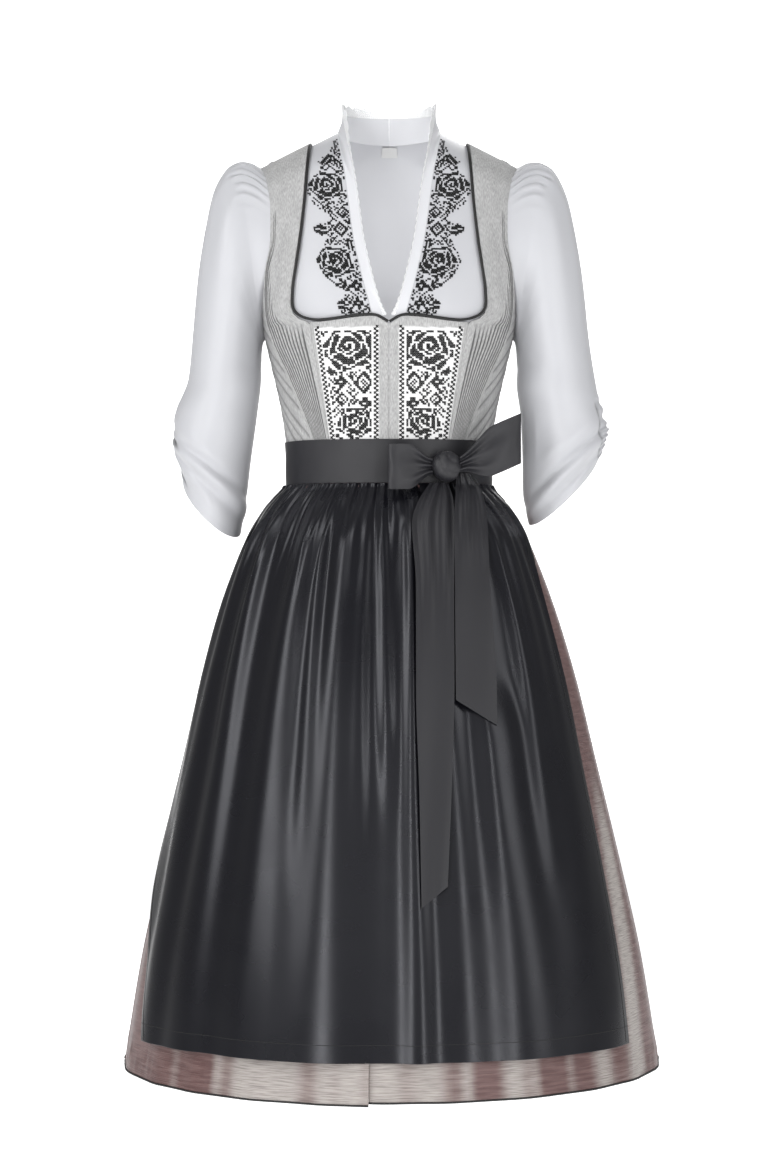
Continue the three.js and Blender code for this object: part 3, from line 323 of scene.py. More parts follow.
def tube(name, path, radius, look, sides=8):
    """A round cord along a path: rings of points in the plane across each step, and flat ends."""
    ahead = unit(np.gradient(path, axis=0))
    aside = unit(np.cross(ahead, np.where(np.abs(ahead[:, 2:]) < 0.9, [0, 0, 1.0], [0, 1.0, 0])))
    swap = np.cumprod(np.where((aside[1:] * aside[:-1]).sum(-1) < 0, -1, 1))
    aside[1:] *= swap[:, None]
    up = np.cross(ahead, aside)
    turn = evenly(sides)[:-1] * 2 * np.pi
    ring = np.cos(turn)[:, None] * aside[:, None, :] + np.sin(turn)[:, None] * up[:, None, :]
    points = (path[:, None, :] + radius * ring).reshape(-1, 3)
    k = np.arange(len(path) - 1)[:, None] * sides
    s, following = np.arange(sides)[None, :], (np.arange(sides)[None, :] + 1) % sides
    quads = np.stack([k + s, k + sides + s, k + sides + following, k + following], -1).reshape(-1, 4)
    ends = [list(range(sides)), [len(points) - 1 - n for n in range(sides)]]
    mesh = bpy.data.meshes.new(name)
    mesh.from_pydata((points * MM).tolist(), [], quads.tolist() + ends)
    mesh.polygons.foreach_set("use_smooth", np.ones(len(mesh.polygons), bool))
    mesh.materials.append(look)
    piece = bpy.data.objects.new(name, mesh)
    bpy.context.scene.collection.objects.link(piece)
    return piece


# %% [markdown]
# ## The cloths
# The look of a cloth is its colour, its gloss and the small relief of its threads.
# Linen is matt and flecked, satin is smooth with long highlights, and shot taffeta is woven in two colours,
# so its folds turn from mauve to champagne; which colour shows is painted sheen, set fold by fold.
# Linen grooves and the satin's fold openings get painted shade. The small class below lets that be written
# as plain sums.

# %% Shader sums
class Value:
    """A shader socket that can be added, multiplied and so on; each sign makes one Math node."""

    def __init__(self, look, socket):
        self.look = look
        self.socket = socket

    def math(self, kind, *others):
        return self.look.node("ShaderNodeMath", {"operation": kind}, self, *others)

    def __add__(self, other):
        return self.math("ADD", other)

    def __radd__(self, other):
        return self.math("ADD", other)

    def __sub__(self, other):
        return self.math("SUBTRACT", other)

    def __rsub__(self, other):
        return self.look.node("ShaderNodeMath", {"operation": "SUBTRACT"}, other, self)

    def __mul__(self, other):
        return self.math("MULTIPLY", other)

    def __rmul__(self, other):
        return self.math("MULTIPLY", other)

    def __truediv__(self, other):
        return self.math("DIVIDE", other)

    def __rtruediv__(self, other):
        return self.look.node("ShaderNodeMath", {"operation": "DIVIDE"}, other, self)

    def __pow__(self, other):
        return self.math("POWER", other)

    def sine(self):
        return self.math("SINE")

    def within(self, low, high):
        """0 below low and 1 above high."""
        clamp = {"interpolation_type": "SMOOTHSTEP"}
        return self.look.node("ShaderNodeMapRange", clamp, self, low, high, 0.0, 1.0)


class Look:
    def __init__(self, name):
        self.material = bpy.data.materials.new(name)
        self.material.use_nodes = True
        self.tree = self.material.node_tree
        self.shader = self.tree.nodes["Principled BSDF"]

    def node(self, kind, settings=None, *values, out=0, **named):
        """Adds any node: its settings first, then its inputs in order or by name."""
        made_node = self.tree.nodes.new(kind)
        for key, setting in (settings or {}).items():
            setattr(made_node, key, setting)
        for place, value in list(enumerate(values)) + list(named.items()):
            self.put(made_node.inputs[place.replace("_", " ") if isinstance(place, str) else place], value)
        return Value(self, made_node.outputs[out])

    def put(self, socket, value):
        if isinstance(value, Value):
            self.tree.links.new(value.socket, socket)
        elif value is not None:
            socket.default_value = value

    def cloth_map(self, across=1.0, along=1.0):
        """Place on the cloth in metres, stretched for threads that run one way."""
        place = self.node("ShaderNodeUVMap", {"uv_map": "cloth"})
        return self.node("ShaderNodeVectorMath", {"operation": "MULTIPLY"}, place, (across, along, 1.0))

    def parts(self, vector):
        """The vector's first two numbers as values."""
        first = self.node("ShaderNodeSeparateXYZ", None, vector)
        return first, Value(self, first.socket.node.outputs[1])

    def noise(self, vector, scale, detail=3.0):
        return self.node("ShaderNodeTexNoise", None, Vector=vector, Scale=scale, Detail=detail)

    def own(self, title):
        """A named value stored on the piece's points."""
        return self.node("ShaderNodeAttribute", {"attribute_name": title}, out=2)

    def blend(self, share, first, second):
        """Mixes two colours."""
        made_node = self.tree.nodes.new("ShaderNodeMix")
        made_node.data_type = "RGBA"
        for place, value in ((0, share), (6, first), (7, second)):
            self.put(made_node.inputs[place], value)
        return Value(self, made_node.outputs[2])

    def relief(self, height, distance, strength=1.0):
        """Small relief from a height between 0 and 1; distance is its depth in metres."""
        return self.node("ShaderNodeBump", None, Height=height, Distance=distance, Strength=strength)

    def finish(self, colour, roughness, normal=None, **fixed):
        self.put(self.shader.inputs["Base Color"], colour)
        self.put(self.shader.inputs["Roughness"], roughness)
        if normal is not None:
            self.put(self.shader.inputs["Normal"], normal)
        for key, value in fixed.items():
            self.put(self.shader.inputs[key.replace("_", " ")], value)
        return self.material


def grey(value, warm=0.0):
    """A grey, a little warmer or cooler."""
    return (value * (1 + warm), value, value * (1 - warm), 1.0)


# %% The cloths themselves
def linen_look(name, stitched=False):
    """Matt flecked linen: short flecks along the threads, threads as fine relief, and painted shade in the
    grooves between cords.
    """
    look = Look(name)
    flecks = look.noise(look.cloth_map(1.0, 0.22), 900.0, 4.0)
    clouds = look.noise(look.cloth_map(1.0, 0.5), 60.0, 2.0)
    tone = (flecks * 0.75 + clouds * 0.25).within(0.36, 0.66)
    colour = look.blend(tone, grey(0.3, 0.0), grey(0.47, 0.0))
    # Painted shade: the grooves between the cords are darkened to near black.
    colour = look.blend(look.own("groove_shade").within(0.0, 0.8), colour, grey(0.09, 0.0))
    if stitched:
        colour = look.blend(look.own("ground"), colour, grey(0.74, 0.0))
    threads = look.noise(look.cloth_map(1.0, 0.35), 1500.0, 2.0)
    return look.finish(colour, 0.88, look.relief(threads, 0.0006, 0.5), Sheen_Weight=0.15)


def satin_look(name, colour, roughness, glow=0.3, fine=0.00012, **fixed):
    """Satin: smooth, with the long soft highlight of floating threads and a faint grain along them; where a
    piece's shade value is set, painted shadow darkens it.
    """
    look = Look(name)
    grain = look.noise(look.cloth_map(1.0, 0.08), 1400.0, 2.0)
    clouds = look.noise(look.cloth_map(), 18.0, 2.0)
    gloss = roughness + (clouds - 0.5) * 0.1
    # Painted shadow: the piece's shade value turns the satin near black in the fold openings.
    colour = look.blend(look.own("shade"), colour, grey(0.05))
    return look.finish(colour, gloss, look.relief(grain, fine, 0.4), Sheen_Weight=glow, **fixed)


def taffeta_look(name):
    """Shot taffeta: a painted sheen value on each fold picks mauve or champagne, and slubs run across as
    short streaks.
    """
    look = Look(name)
    slubs = look.noise(look.cloth_map(0.045, 1.0), 1100.0, 3.0)
    streaks = look.noise(look.cloth_map(0.12, 1.0), 260.0, 2.0)
    turn = look.own("turn") + (slubs - 0.5) * 0.2 + (streaks - 0.5) * 0.25
    mauve = look.blend(streaks.within(0.3, 0.7), (0.09, 0.042, 0.04, 1), (0.15, 0.086, 0.081, 1))
    champagne = look.blend(slubs.within(0.3, 0.62), (0.22, 0.197, 0.184, 1), (0.41, 0.374, 0.352, 1))
    # Painted sheen: champagne where the piece's turn value says a fold faces the light, mauve elsewhere.
    colour = look.blend(turn.within(0.18, 0.95), mauve, champagne)
    return look.finish(colour, 0.36, look.relief(slubs, 0.0008, 0.7), Specular_IOR_Level=0.5)


def lace_look(name):
    """Lace: a fine net of round holes between the threads."""
    look = Look(name)
    across, along = look.parts(look.cloth_map(2 * np.pi / 0.0028, 2 * np.pi / 0.0028))
    net = across.sine() * along.sine()
    holes = 1.0 - net.within(0.55, 0.75)
    return look.finish(grey(0.88, -0.01), 0.7, look.relief(net, 0.0006, 0.6), Alpha=holes)


def plain_look(name, colour, roughness, **fixed):
    """One even colour and roughness, with no relief."""
    look = Look(name)
    return look.finish(colour, roughness, **fixed)


linen = linen_look("linen")
linen_embroidered = linen_look("linen_embroidered", True)
white_satin = satin_look("white_satin", (0.49, 0.495, 0.52, 1), 0.42, 0.1)
# The collar is a brighter copy of the white satin: painted light, so that its back, which lies in shade,
# looks as lit as the rest.
brightened_collar_satin = satin_look("white_satin_collar_brightened", (0.61, 0.615, 0.64, 1), 0.45, 0.1)
DARK_GRAIN = 0.00002
dark_satin = satin_look(
    "charcoal_satin", (0.0045, 0.0045, 0.0065, 1), 0.28, 0.0, DARK_GRAIN,
    Specular_IOR_Level=0.38, Specular_Tint=(0.93, 0.94, 1, 1),
)
tie_satin = satin_look(
    "charcoal_satin_tie", (0.015, 0.0148, 0.018, 1), 0.46, 0.0, DARK_GRAIN, Specular_IOR_Level=0.42
)
taffeta = taffeta_look("shot_taffeta")
lace_cloth = lace_look("lace_net")
black_cord = plain_look("black_piping", grey(0.006), 0.6)
black_thread = plain_look("black_embroidery_thread", grey(0.009, -0.03), 0.75, Specular_IOR_Level=0.3)
label_cloth = plain_look("label_tape", grey(0.57), 0.8)
print("cloths:", [material.name for material in bpy.data.materials])

# %% [markdown]
# ## The bodice
# The bodice is cut in panels: seams over the bust and down the sides do the shaping, and cords stiffen it.
# Each seam is a dip in the relief, because two turned edges meet there; each cord is a low round ridge,
# with painted shade in the grooves between the cords.

# %% Seams and cords
HANDS = ((-1, "left"), (1, "right"))


def gap_angle(z):
    """Half a seam's gap as an angle."""
    return angle_at(SEAM_GAP, z)


def panel_side(z):
    """Half-width of the embroidered panels: a straight line from 66.5 at the waist to 88 at the neckline."""
    return mix(66.5, 88.0, (z + 345) / 153)


def neck_angle(z):
    """Angle of the neckline's edge at a height."""
    return angle_at(straight(NECKLINE, z), z)


def side_angle(z):
    """Angle of the seam between the corded panel and the side."""
    return straight(SIDE_SEAM, z)


def back_angle(z):
    """Angle of the back's side seam, counted from the middle of the back."""
    return angle_at(straight(BACK_SEAM, z), z)


def armhole_angle(z):
    """Angle of the armhole's edge."""
    return read(ARMHOLE, z)


def strap_angle(z):
    """Angle of the strap's inner edge."""
    return angle_at(STRAP_INNER, z)


def neck_foot(x):
    """Lower edge of the neckline: it dips where the fronts meet."""
    away = np.abs(x)
    return NECK_FOOT + 5 * step(away, 4, 16) * (1 - step(away, 20, 80)) - 3 * (1 - step(away, 0, 8))


def arm_floor(angle):
    """Lower edge of the armhole by angle."""
    turned = np.abs(90 - np.abs(angle)) * -1 + 90
    low = np.array([(50, -60), (58.4, -95), (64.1, -125), (72.5, -150), (81.5, -178), (90, -200)], float)
    return read(low, turned)


def seam_dip(share, wide):
    """A dip of half a millimetre along both seams of a panel."""
    from_seam = np.minimum(share, 1 - share) * wide
    return -0.55 * np.exp(-((from_seam / 1.6) ** 2))


def ribs(place, sharp=0.7):
    """Round ridges, one to each whole number: |sin(pi place)| to a power."""
    return np.abs(np.sin(np.pi * place)) ** sharp


CORDS = 11


def corded(share, z, angle):
    """Close cords between the plain strip and the side seam; they fade out over the bust."""
    reach = mix(-196, -92, step(share, 0.35, 1.0))
    lives = step(share, 0.13, 0.15) * (1 - step(share, 0.97, 0.985)) * (1 - step(z, reach - 14, reach + 12))
    cords = ribs((share - 0.14) / 0.83 * CORDS) * mix(0.9, 1.4, step(z, -330, -230)) * lives
    pair = bump(share, 0.80, 0.012) + bump(share, 0.86, 0.012)
    armhole = -1.1 * pair * step(z, -215, -190) * (1 - step(z, -70, -58))
    return cords + seam_dip(share, 60) * (z < SIDE_SEAM_TOP) + armhole


def corded_groove_shade(share, z):
    """Painted shade in the stitched grooves between the cords: 1 in the middle of a groove."""
    reach = mix(-196, -92, step(share, 0.35, 1.0))
    lives = step(share, 0.12, 0.13) * (1 - step(share, 0.98, 0.99)) * (1 - step(z, reach - 20, reach + 14))
    fine = (1 - ribs((share - 0.14) / 0.83 * CORDS, 0.9)) * lives * 1.15
    pair = bump(share, 0.80, 0.01) + bump(share, 0.86, 0.01)
    return np.clip(fine + 1.0 * pair * step(z, -200, -180) * (1 - step(z, -70, -58)), 0, 1)


def slanting(share, z, angle):
    """Cords that run down towards the waist at a slant across the side."""
    place = (np.abs(angle) - 40) * -0.1 + (z + 345) * 0.06
    soft = (1 - step(z, -195, -150)) * step(share, 0.02, 0.06)
    wander = 0.15 * np.sin(place * 2.1)
    return (1.15 * ribs(place + wander, 1.1) - 0.4) * soft + seam_dip(share, 60)


def slanting_groove_shade(share, z, angle):
    """Painted shade in the stitched groove beside each slanting cord."""
    place = (np.abs(angle) - 40) * -0.1 + (z + 345) * 0.06
    place = place + 0.15 * np.sin(place * 2.1)
    return 0.6 * (1 - ribs(place, 1.1)) ** 2 * (1 - step(z, -195, -150)) * step(share, 0.02, 0.05)


for side, hand in HANDS:
    grid = panel_grid(
        lambda z: side * gap_angle(z) * 0.6,
        lambda z: side * (neck_angle(np.minimum(z, NECK_FOOT)) - gap_angle(z)),
        lambda angle: neck_foot(read(BODY, np.array(float(NECK_FOOT)), 1) * np.sin(np.radians(angle))),
        66, 80, 0.0, lambda share, z, angle: seam_dip(share, 80),
    )
    across = np.abs(grid[..., 0])
    border = panel_side(grid[..., 2]) - 5.5
    ground = step(across, 10.5, 11.5) * (1 - step(across, border + 1.2, border + 2.2))
    ground = ground * (1 - step(grid[..., 2], -199.0, -198.0))
    unstitched[f"front_{hand}"] = cloth(
        f"bodice_front_{hand}_cloth", grid, BODICE_WALL, linen_embroidered, values={"ground": ground}
    )
    grid = panel_grid(
        lambda z: side * neck_angle(z),
        lambda z: side * np.where(z > SIDE_SEAM_TOP, armhole_angle(z), side_angle(z) - gap_angle(z)),
        ridge_at, 130, 120, 0.0, corded,
    )
    # Painted shade for the grooves between the cords.
    painted_groove_shade = corded_groove_shade(evenly(130)[:, None], grid[..., 2])
    piece = cloth(f"bodice_corded_{hand}_cloth", grid, BODICE_WALL, linen, values={"groove_shade": painted_groove_shade})
    sewn(piece, [f"bodice_corded_{hand}"], "bodice_cloth")
    grid = panel_grid(
        lambda z: side * side_angle(z), lambda z: side * SIDE_ANGLE + 0 * z, arm_floor, 60, 80, 0.0, slanting
    )
    seam = side_angle(grid[..., 2])
    share = evenly(60)[:, None]
    # Painted shade for the grooves beside the slanting cords.
    painted_groove_shade = slanting_groove_shade(share, grid[..., 2], mix(seam, SIDE_ANGLE, share))
    piece = cloth(f"bodice_side_{hand}_cloth", grid, BODICE_WALL, linen, values={"groove_shade": painted_groove_shade})
    sewn(piece, [f"bodice_side_{hand}"], "bodice_cloth")
    grid = panel_grid(
        lambda z: side * (SIDE_ANGLE + gap_angle(z)), lambda z: side * (180 - back_angle(z) - gap_angle(z)),
        arm_floor, 40, 50, 0.0, lambda share, z, angle: seam_dip(share, 70),
    )
    piece = cloth(f"bodice_back_side_{hand}_cloth", grid, BODICE_WALL, linen)
    sewn(piece, [f"bodice_back_side_{hand}"], "bodice_cloth")


def back_edge(z):
    """The back's outer edge: its side seam, and above that the armhole."""
    return np.where(z > BACK_SEAM_TOP, armhole_angle(z), back_angle(z))


def back_neck(angle):
    """The back neckline: a shallow curve between the straps."""
    share = np.sin(np.radians(180 - angle)) / np.sin(np.radians(strap_angle(BACK_STRAP_FOOT)))
    return BACK_STRAP_FOOT - 22 * np.maximum(1 - share**2, 0)


grid = panel_grid(
    lambda z: 180 - back_edge(z), lambda z: 180 + back_edge(z), back_neck, 60, 60, 0.0,
    lambda share, z, angle: seam_dip(share, 200),
)
piece = cloth("bodice_back_cloth", grid, BODICE_WALL, linen)
sewn(piece, ["bodice_back"], "bodice_cloth")
for side, hand in HANDS:
    share, row = evenly(18)[:, None], evenly(16)[None, :]
    foot = BACK_STRAP_FOOT + SEAM_GAP
    start = side * 180 - side * mix(strap_angle(foot), armhole_angle(foot), share)
    z = height_at(start, down_to(start, foot) * (1 - row))
    at = side * 180 - side * mix(strap_angle(z), armhole_angle(z), share)
    piece = cloth(f"bodice_strap_{hand}_cloth", on_body(at, z), BODICE_WALL, linen)
    sewn(piece, [f"bodice_strap_{hand}"], "bodice_cloth")

# %% [markdown]
# ## The piping
# Piping is a cord wrapped in a bias strip and caught in the seam, so it rides on the very edge.

# %% Piping round the neckline
PIPING_CLEAR = 2.0


def shifted(x, z, aside):
    """Moves a line on the front or the back sideways by the piping's clearance."""
    dx, dz = np.gradient(x), np.gradient(z)
    run = np.hypot(dx, dz)
    return x - dz / run * PIPING_CLEAR * aside, z + dx / run * PIPING_CLEAR * aside


low_x = np.linspace(1.6, 82, 60)
side_z = np.concatenate([np.linspace(NECK_FOOT, -98, 50), height_at(36.0, np.linspace(105, 2, 30))])
front_x = np.concatenate([low_x, straight(NECKLINE, side_z)])
front_z = np.concatenate([neck_foot(low_x), side_z])
front_x, front_z = shifted(front_x, front_z, 1)
for _ in range(6):
    front_x[1:-1] = (front_x[:-2] + 2 * front_x[1:-1] + front_x[2:]) / 4
    front_z[1:-1] = (front_z[:-2] + 2 * front_z[1:-1] + front_z[2:]) / 4
front_line = on_body(angle_at(front_x, front_z), front_z, 0.4)
strap_z = height_at(180 - 36.0, np.linspace(3, 52, 14))
turn = np.linspace(strap_angle(BACK_STRAP_FOOT), 0.6, 40)
low_z = back_neck(180 - turn)
back_x = np.concatenate([np.full(14, float(STRAP_INNER)), read(BODY, low_z, 1) * np.sin(np.radians(turn))])
back_z = np.concatenate([strap_z, low_z])
back_x, back_z = shifted(back_x, back_z, -1)
back_line = on_body(180 - angle_at(np.maximum(back_x, 0), back_z), back_z, 0.4)
half = np.concatenate([front_line, back_line])
for _ in range(8):
    half[1:-1] = (half[:-2] + 2 * half[1:-1] + half[2:]) / 4
piping = tube("neck_piping_cord", np.concatenate([half, (half * [-1, 1, 1])[::-1]]), 1.55, black_cord, 10)
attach(piping, "root")
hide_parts("neck_piping")
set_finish(piping, "black_trim")

# %% [markdown]
# ## The blouse
# The blouse is white satin. Its body lies under the bodice, so only the neck and the sleeves are seen.
# A stand collar runs on down the V opening as a narrow band, with lace along its free edge.

# %% Blouse body, collar and lace
def v_angle(z):
    """Angle of the blouse's V opening, read from its table of half-widths."""
    return angle_at(read(V_SEAM, z), z)


def blouse_neck(angle):
    """The blouse's top edge: a parabola behind the neck, and the shoulder ridge beside it."""
    x = np.abs(SHOULDER_HALF * np.sin(np.radians(angle)))
    return np.where(x >= NECK_HALF, ridge_at(angle), 35 + 4.5 * (x / NECK_HALF) ** 2)


for side, hand in HANDS:
    grid = panel_grid(
        lambda z: side * v_angle(z), lambda z: side * (armhole_angle(z) - gap_angle(z)), ridge_at,
        40, 70, BLOUSE_DEPTH,
        lambda share, z, angle: 0.5 * np.sin(share * 21 + z * 0.02) * step(share, 0.3, 0.7),
    )
    unstitched[f"blouse_{hand}"] = cloth(f"blouse_front_{hand}_cloth", grid, BLOUSE_WALL, white_satin)
grid = panel_grid(
    lambda z: 180 - armhole_angle(z), lambda z: 180 + armhole_angle(z), blouse_neck, 50, 50, BLOUSE_DEPTH
)
piece = cloth("blouse_back_cloth", grid, BLOUSE_WALL, white_satin)
sewn(piece, ["blouse_back"], "blouse_satin")

COLLAR_EDGE = np.array([
    (0, 7, 0, -186), (0.1, 13, 0, -165), (0.22, 21.5, 0, -130), (0.33, 29, 0, -94), (0.46, 35, 0, -50),
    (0.57, 40.5, 0, -14), (0.64, 45, -58, 8), (0.71, 50, -30, 34), (0.77, 53.5, -4, 56), (0.81, 54, 14, 60),
    (0.87, 49, 36, 61.5), (0.92, 37, 51, 62), (0.96, 20, 59, 62.4), (1, 0, 61.5, 62.4),
], float)
lying = COLLAR_EDGE[:6]
lying[:, 2] = on_body(angle_at(lying[:, 1], lying[:, 3]), lying[:, 3], BLOUSE_DEPTH)[:, 1]
COLLAR_RIDGE = 0.75


def collar_seam(share):
    """The collar's sewn edge: up the V opening, then round the back of the neck."""
    rising = np.sin(np.minimum(share / COLLAR_RIDGE, 1) * (np.pi / 2)) ** 1.1
    z = mix(V_FOOT, ridge_height(NECK_HALF), rising)
    front = on_body(v_angle(z) - 0.1, z, BLOUSE_DEPTH - 0.2)
    x = (NECK_HALF - 2) * np.cos(np.clip((share - COLLAR_RIDGE) / (1 - COLLAR_RIDGE), 0, 1) * (np.pi / 2))
    angle = 180 - np.degrees(np.arcsin(x / SHOULDER_HALF))
    back = on_body(angle, blouse_neck(angle), BLOUSE_DEPTH + 0.6) - [0, 0, 1.5]
    return np.where((share <= COLLAR_RIDGE)[:, None], front, back)


def collar_edge(share):
    """The collar's free edge, read from its table by the share of its length."""
    return vectors(*(read(COLLAR_EDGE, share, column) for column in (1, 2, 3)))


for side, hand in HANDS:
    share = evenly(260)
    seam, edge = collar_seam(share), collar_edge(share)
    up = evenly(6)[None, :, None]
    grid = mix(seam[:, None], edge[:, None], up)
    grid[..., 0] = side * np.maximum(grid[..., 0], 0.3)
    # The collar's satin is the brightened copy: painted light.
    piece = cloth(f"collar_{hand}_cloth", grid, BLOUSE_WALL, brightened_collar_satin)
    scallop = np.abs(np.sin(share * 34 * np.pi))
    wide = mix(5.0, 14.0, step(share, 0.55, 0.8)) * (0.72 + 0.28 * scallop)
    out = unit(edge - seam)[:, None]
    grid = edge[:, None] + out * (evenly(8)[None, :, None] * wide[:, None, None])
    ripple = np.sin(share * 34 * np.pi * 2)[:, None] * evenly(8)[None, :] * 0.35
    grid[..., 1] += ripple
    grid[..., 0] = side * np.maximum(grid[..., 0], 0.15)
    trim = cloth(f"lace_{hand}_net", grid, 0.5, lace_cloth)
    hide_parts(f"lace_{hand}")
    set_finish(trim, "lace")
    sewn(piece, [f"collar_{hand}"], "blouse_satin", with_pieces=[trim])

u, v = evenly(12)[:, None], evenly(8)[None, :]
grid = on_body(180 + mix(-3.7, 3.3, u) + 0 * v, mix(33, 20.5, v) + 0 * u, BLOUSE_DEPTH + BLOUSE_WALL + 2.0)
piece = cloth("neck_label_tape", grid, 0.5, label_cloth)
sewn(piece, ["neck_label"], "label")

# %% [markdown]
# ## The sleeves
# A puffed sleeve is cut wider than its armhole and gathered into it, so small folds spread from the cap.
# Below the elbow a thread pulls up the outer side, which makes the ruching and the slanted creases.

# %% Sleeves
SLEEVE_RIGHT = np.array([
    (0, 144, -203, 164, 1, 63, 0), (0.08, 145, -206, 187, -8, 66, 0), (0.16, 145.5, -209, 203, -35, 68, 0),
    (0.24, 146, -213, 213, -75, 68, 0), (0.34, 146.5, -219, 222, -128, 66, 0),
    (0.46, 147.5, -235, 230, -198, 63, 0),
    (0.58, 148.5, -258, 236.5, -242, 60, 2), (0.68, 152, -295, 242, -274, 58, 4),
    (0.78, 152.5, -330, 249.5, -303, 56, 7), (0.89, 153, -375, 246, -324, 54, 10),
    (1, 160, -413, 239, -339, 52, 13),
], float)
SLEEVE_LEFT = np.array([
    (0, 144, -203, 163, 1, 63, 0), (0.08, 145, -206, 183, -5, 66, 0), (0.16, 145.5, -209, 200, -29, 68, 0),
    (0.24, 146, -213, 210, -70, 68, 0), (0.34, 146.5, -219, 219, -125, 66, 0),
    (0.46, 147, -235, 226, -196, 63, 0),
    (0.58, 149, -258, 231, -246, 60, 2), (0.68, 153, -298, 244, -284, 58, 4),
    (0.78, 158, -340, 246.5, -318, 56, 8),
    (0.89, 163, -385, 239, -346, 54, 12), (1, 170, -424, 236, -366, 52, 18),
], float)
CREASES = {
    "left": ((0.12, 0.80, 0.5, 0.028, 7.0, -0.32), (0.12, 0.765, 0.45, 0.018, -4.5, -0.32),
             (0.05, 0.71, 0.35, 0.035, 3.5, -0.3), (0.03, 0.845, 0.3, 0.03, 4.0, -0.35),
             (0.16, 0.85, 0.4, 0.02, -2.5, -0.35), (0.25, 0.62, 0.3, 0.05, 2.5, 0.15),
             (0.3, 0.5, 0.3, 0.05, -2.0, 0.2)),
    "right": ((0.12, 0.83, 0.45, 0.028, 6.0, -0.42), (0.12, 0.785, 0.4, 0.02, -4.5, -0.42),
              (0.1, 0.72, 0.35, 0.03, 3.5, -0.35), (0.14, 0.9, 0.35, 0.025, -3.0, -0.3),
              (0.25, 0.62, 0.3, 0.05, 2.5, 0.15), (0.3, 0.5, 0.3, 0.05, -2.0, 0.2)),
}
OPENINGS = {"left": ((0.757, -0.3), (0.897, -0.42)), "right": ()}
RUCHED = {"left": 0.3, "right": 1.6}
OPENING_DEPTH = 5


def openings(turned, at, hand):
    """Where a fold opens into shadow: slits on the outer side, and a groove beside the ruched strip. The
    value sinks the cloth there and is also painted shadow on the satin.
    """
    beside = (turned + 0.5) % 1 - 0.5
    slits = sum(
        bump(at + slope * beside, level, 0.009) * step(beside, -0.05, 0.0) * (1 - step(beside, 0.06, 0.125))
        for level, slope in OPENINGS[hand]
    )
    strip = bump(beside, 0.098 - 0.9 * (at - 0.77) ** 2, 0.006)
    strip = strip * step(at, 0.66, 0.7) * (1 - step(at, 0.88, 0.93))
    return np.clip(slits + strip * 0.6 * (hand == "right"), 0, 1)


def sleeve_point(rows, turned, at, hand):
    """A ring round the arm: turned 0 is the outer side and a quarter the front; at runs down the sleeve."""
    turn = turned * 2 * np.pi
    ix, iz, ox, oz, deep, droop = (read(rows, at, column) for column in range(1, 7))
    across = np.cos(turn)
    lift = 0.5 + 0.5 * across
    sag = droop * np.maximum(np.sin(turn), 0)
    crown = step(across, 0.3, 0.8) * (1 - step(at, 0.02, 0.12 + 0.05 * np.sin(turn * 6)))
    gather = 2.3 * crown * np.cos(turn * 38 + 2.5 * np.sin(turn * 2))
    flow = step(across, 0.1, 0.8) * step(at, 0.0, 0.1) * (1 - step(at, 0.2, 0.5))
    gather = gather + 0.9 * flow * np.cos(turn * 10 + 1.7 * np.sin(turn * 2 + at * 3))
    ruche = step(across, 0.78, 0.88) * step(at, 0.62, 0.7) * (1 - step(at, 0.9, 0.97))
    ripple = RUCHED[hand] * ruche * np.cos(at * 27 * 2 * np.pi + 2 * np.sin(at * 31))
    crease = 0
    for place, level, long, wide, high, slope in CREASES[hand]:
        beside = (turned - place + 0.5) % 1 - 0.5
        away = (at - level) + slope * beside
        crease = crease + high * bump(away, 0, wide) * bump(beside, long * 0.3, long * 0.5)
    broad = 1.2 * np.sin(at * 9 + turn) * step(at, 0.25, 0.5)
    crease = crease * (1 - step(at, 0.94, 1.0)) - OPENING_DEPTH * openings(turned, at, hand)
    push = 1 + (gather + ripple + crease + broad) / 60
    return vectors(
        mix(ix, ox, lift) + (ox - ix) * 0.5 * across * (push - 1),
        -deep * np.sin(turn) * push - 3 * step(at, 0.4, 1),
        mix(iz, oz, lift) - sag + (oz - iz) * 0.5 * across * (push - 1),
    )


def armhole_point(turned):
    """The armhole that the sleeve is set into, from the ridge down the front and back up behind."""
    front = turned < 0.5
    share = np.where(front, turned * 2, (1 - turned) * 2)
    z = mix(ridge_height(147) - 0.01, -200, share)
    angle = np.minimum(armhole_angle(z), 90) - 1.6
    return on_body(np.where(front, angle, 180 - angle), z, 2.6)


for side, hand, rows in ((-1, "left", SLEEVE_LEFT), (1, "right", SLEEVE_RIGHT)):
    u, v = evenly(150)[:, None], evenly(160)[None, :]
    turned = u - 0.45 * np.sin(4 * np.pi * u) / (4 * np.pi) + 0 * v
    at = mix(-0.05, 1, v) + 0 * u
    edge = armhole_point(np.clip(turned, 0, 0.99999))
    body = sleeve_point(rows, turned, np.maximum(at, 0), hand)
    grid = mix(edge, body, step(at, -0.05, 0.03)[..., None])
    grid[-1] = grid[0]
    grid[..., 0] *= side
    # Painted shadow in the fold openings, read by the satin's colour.
    shade = {"shade": openings(turned, np.maximum(at, 0), hand)}
    sleeve = cloth(
        f"sleeve_{hand}_cloth", grid, BLOUSE_WALL, white_satin, loop=True, rounded=True, values=shade
    )
    sewn(sleeve, [f"sleeve_{hand}"], "blouse_satin")

# %% [markdown]
# ## The skirt
# The skirt is several widths of taffeta gathered to the waist: the gathers open out into long soft folds.
# In front it lies flat under the apron, so that only its sides, its hem and its back show folds.

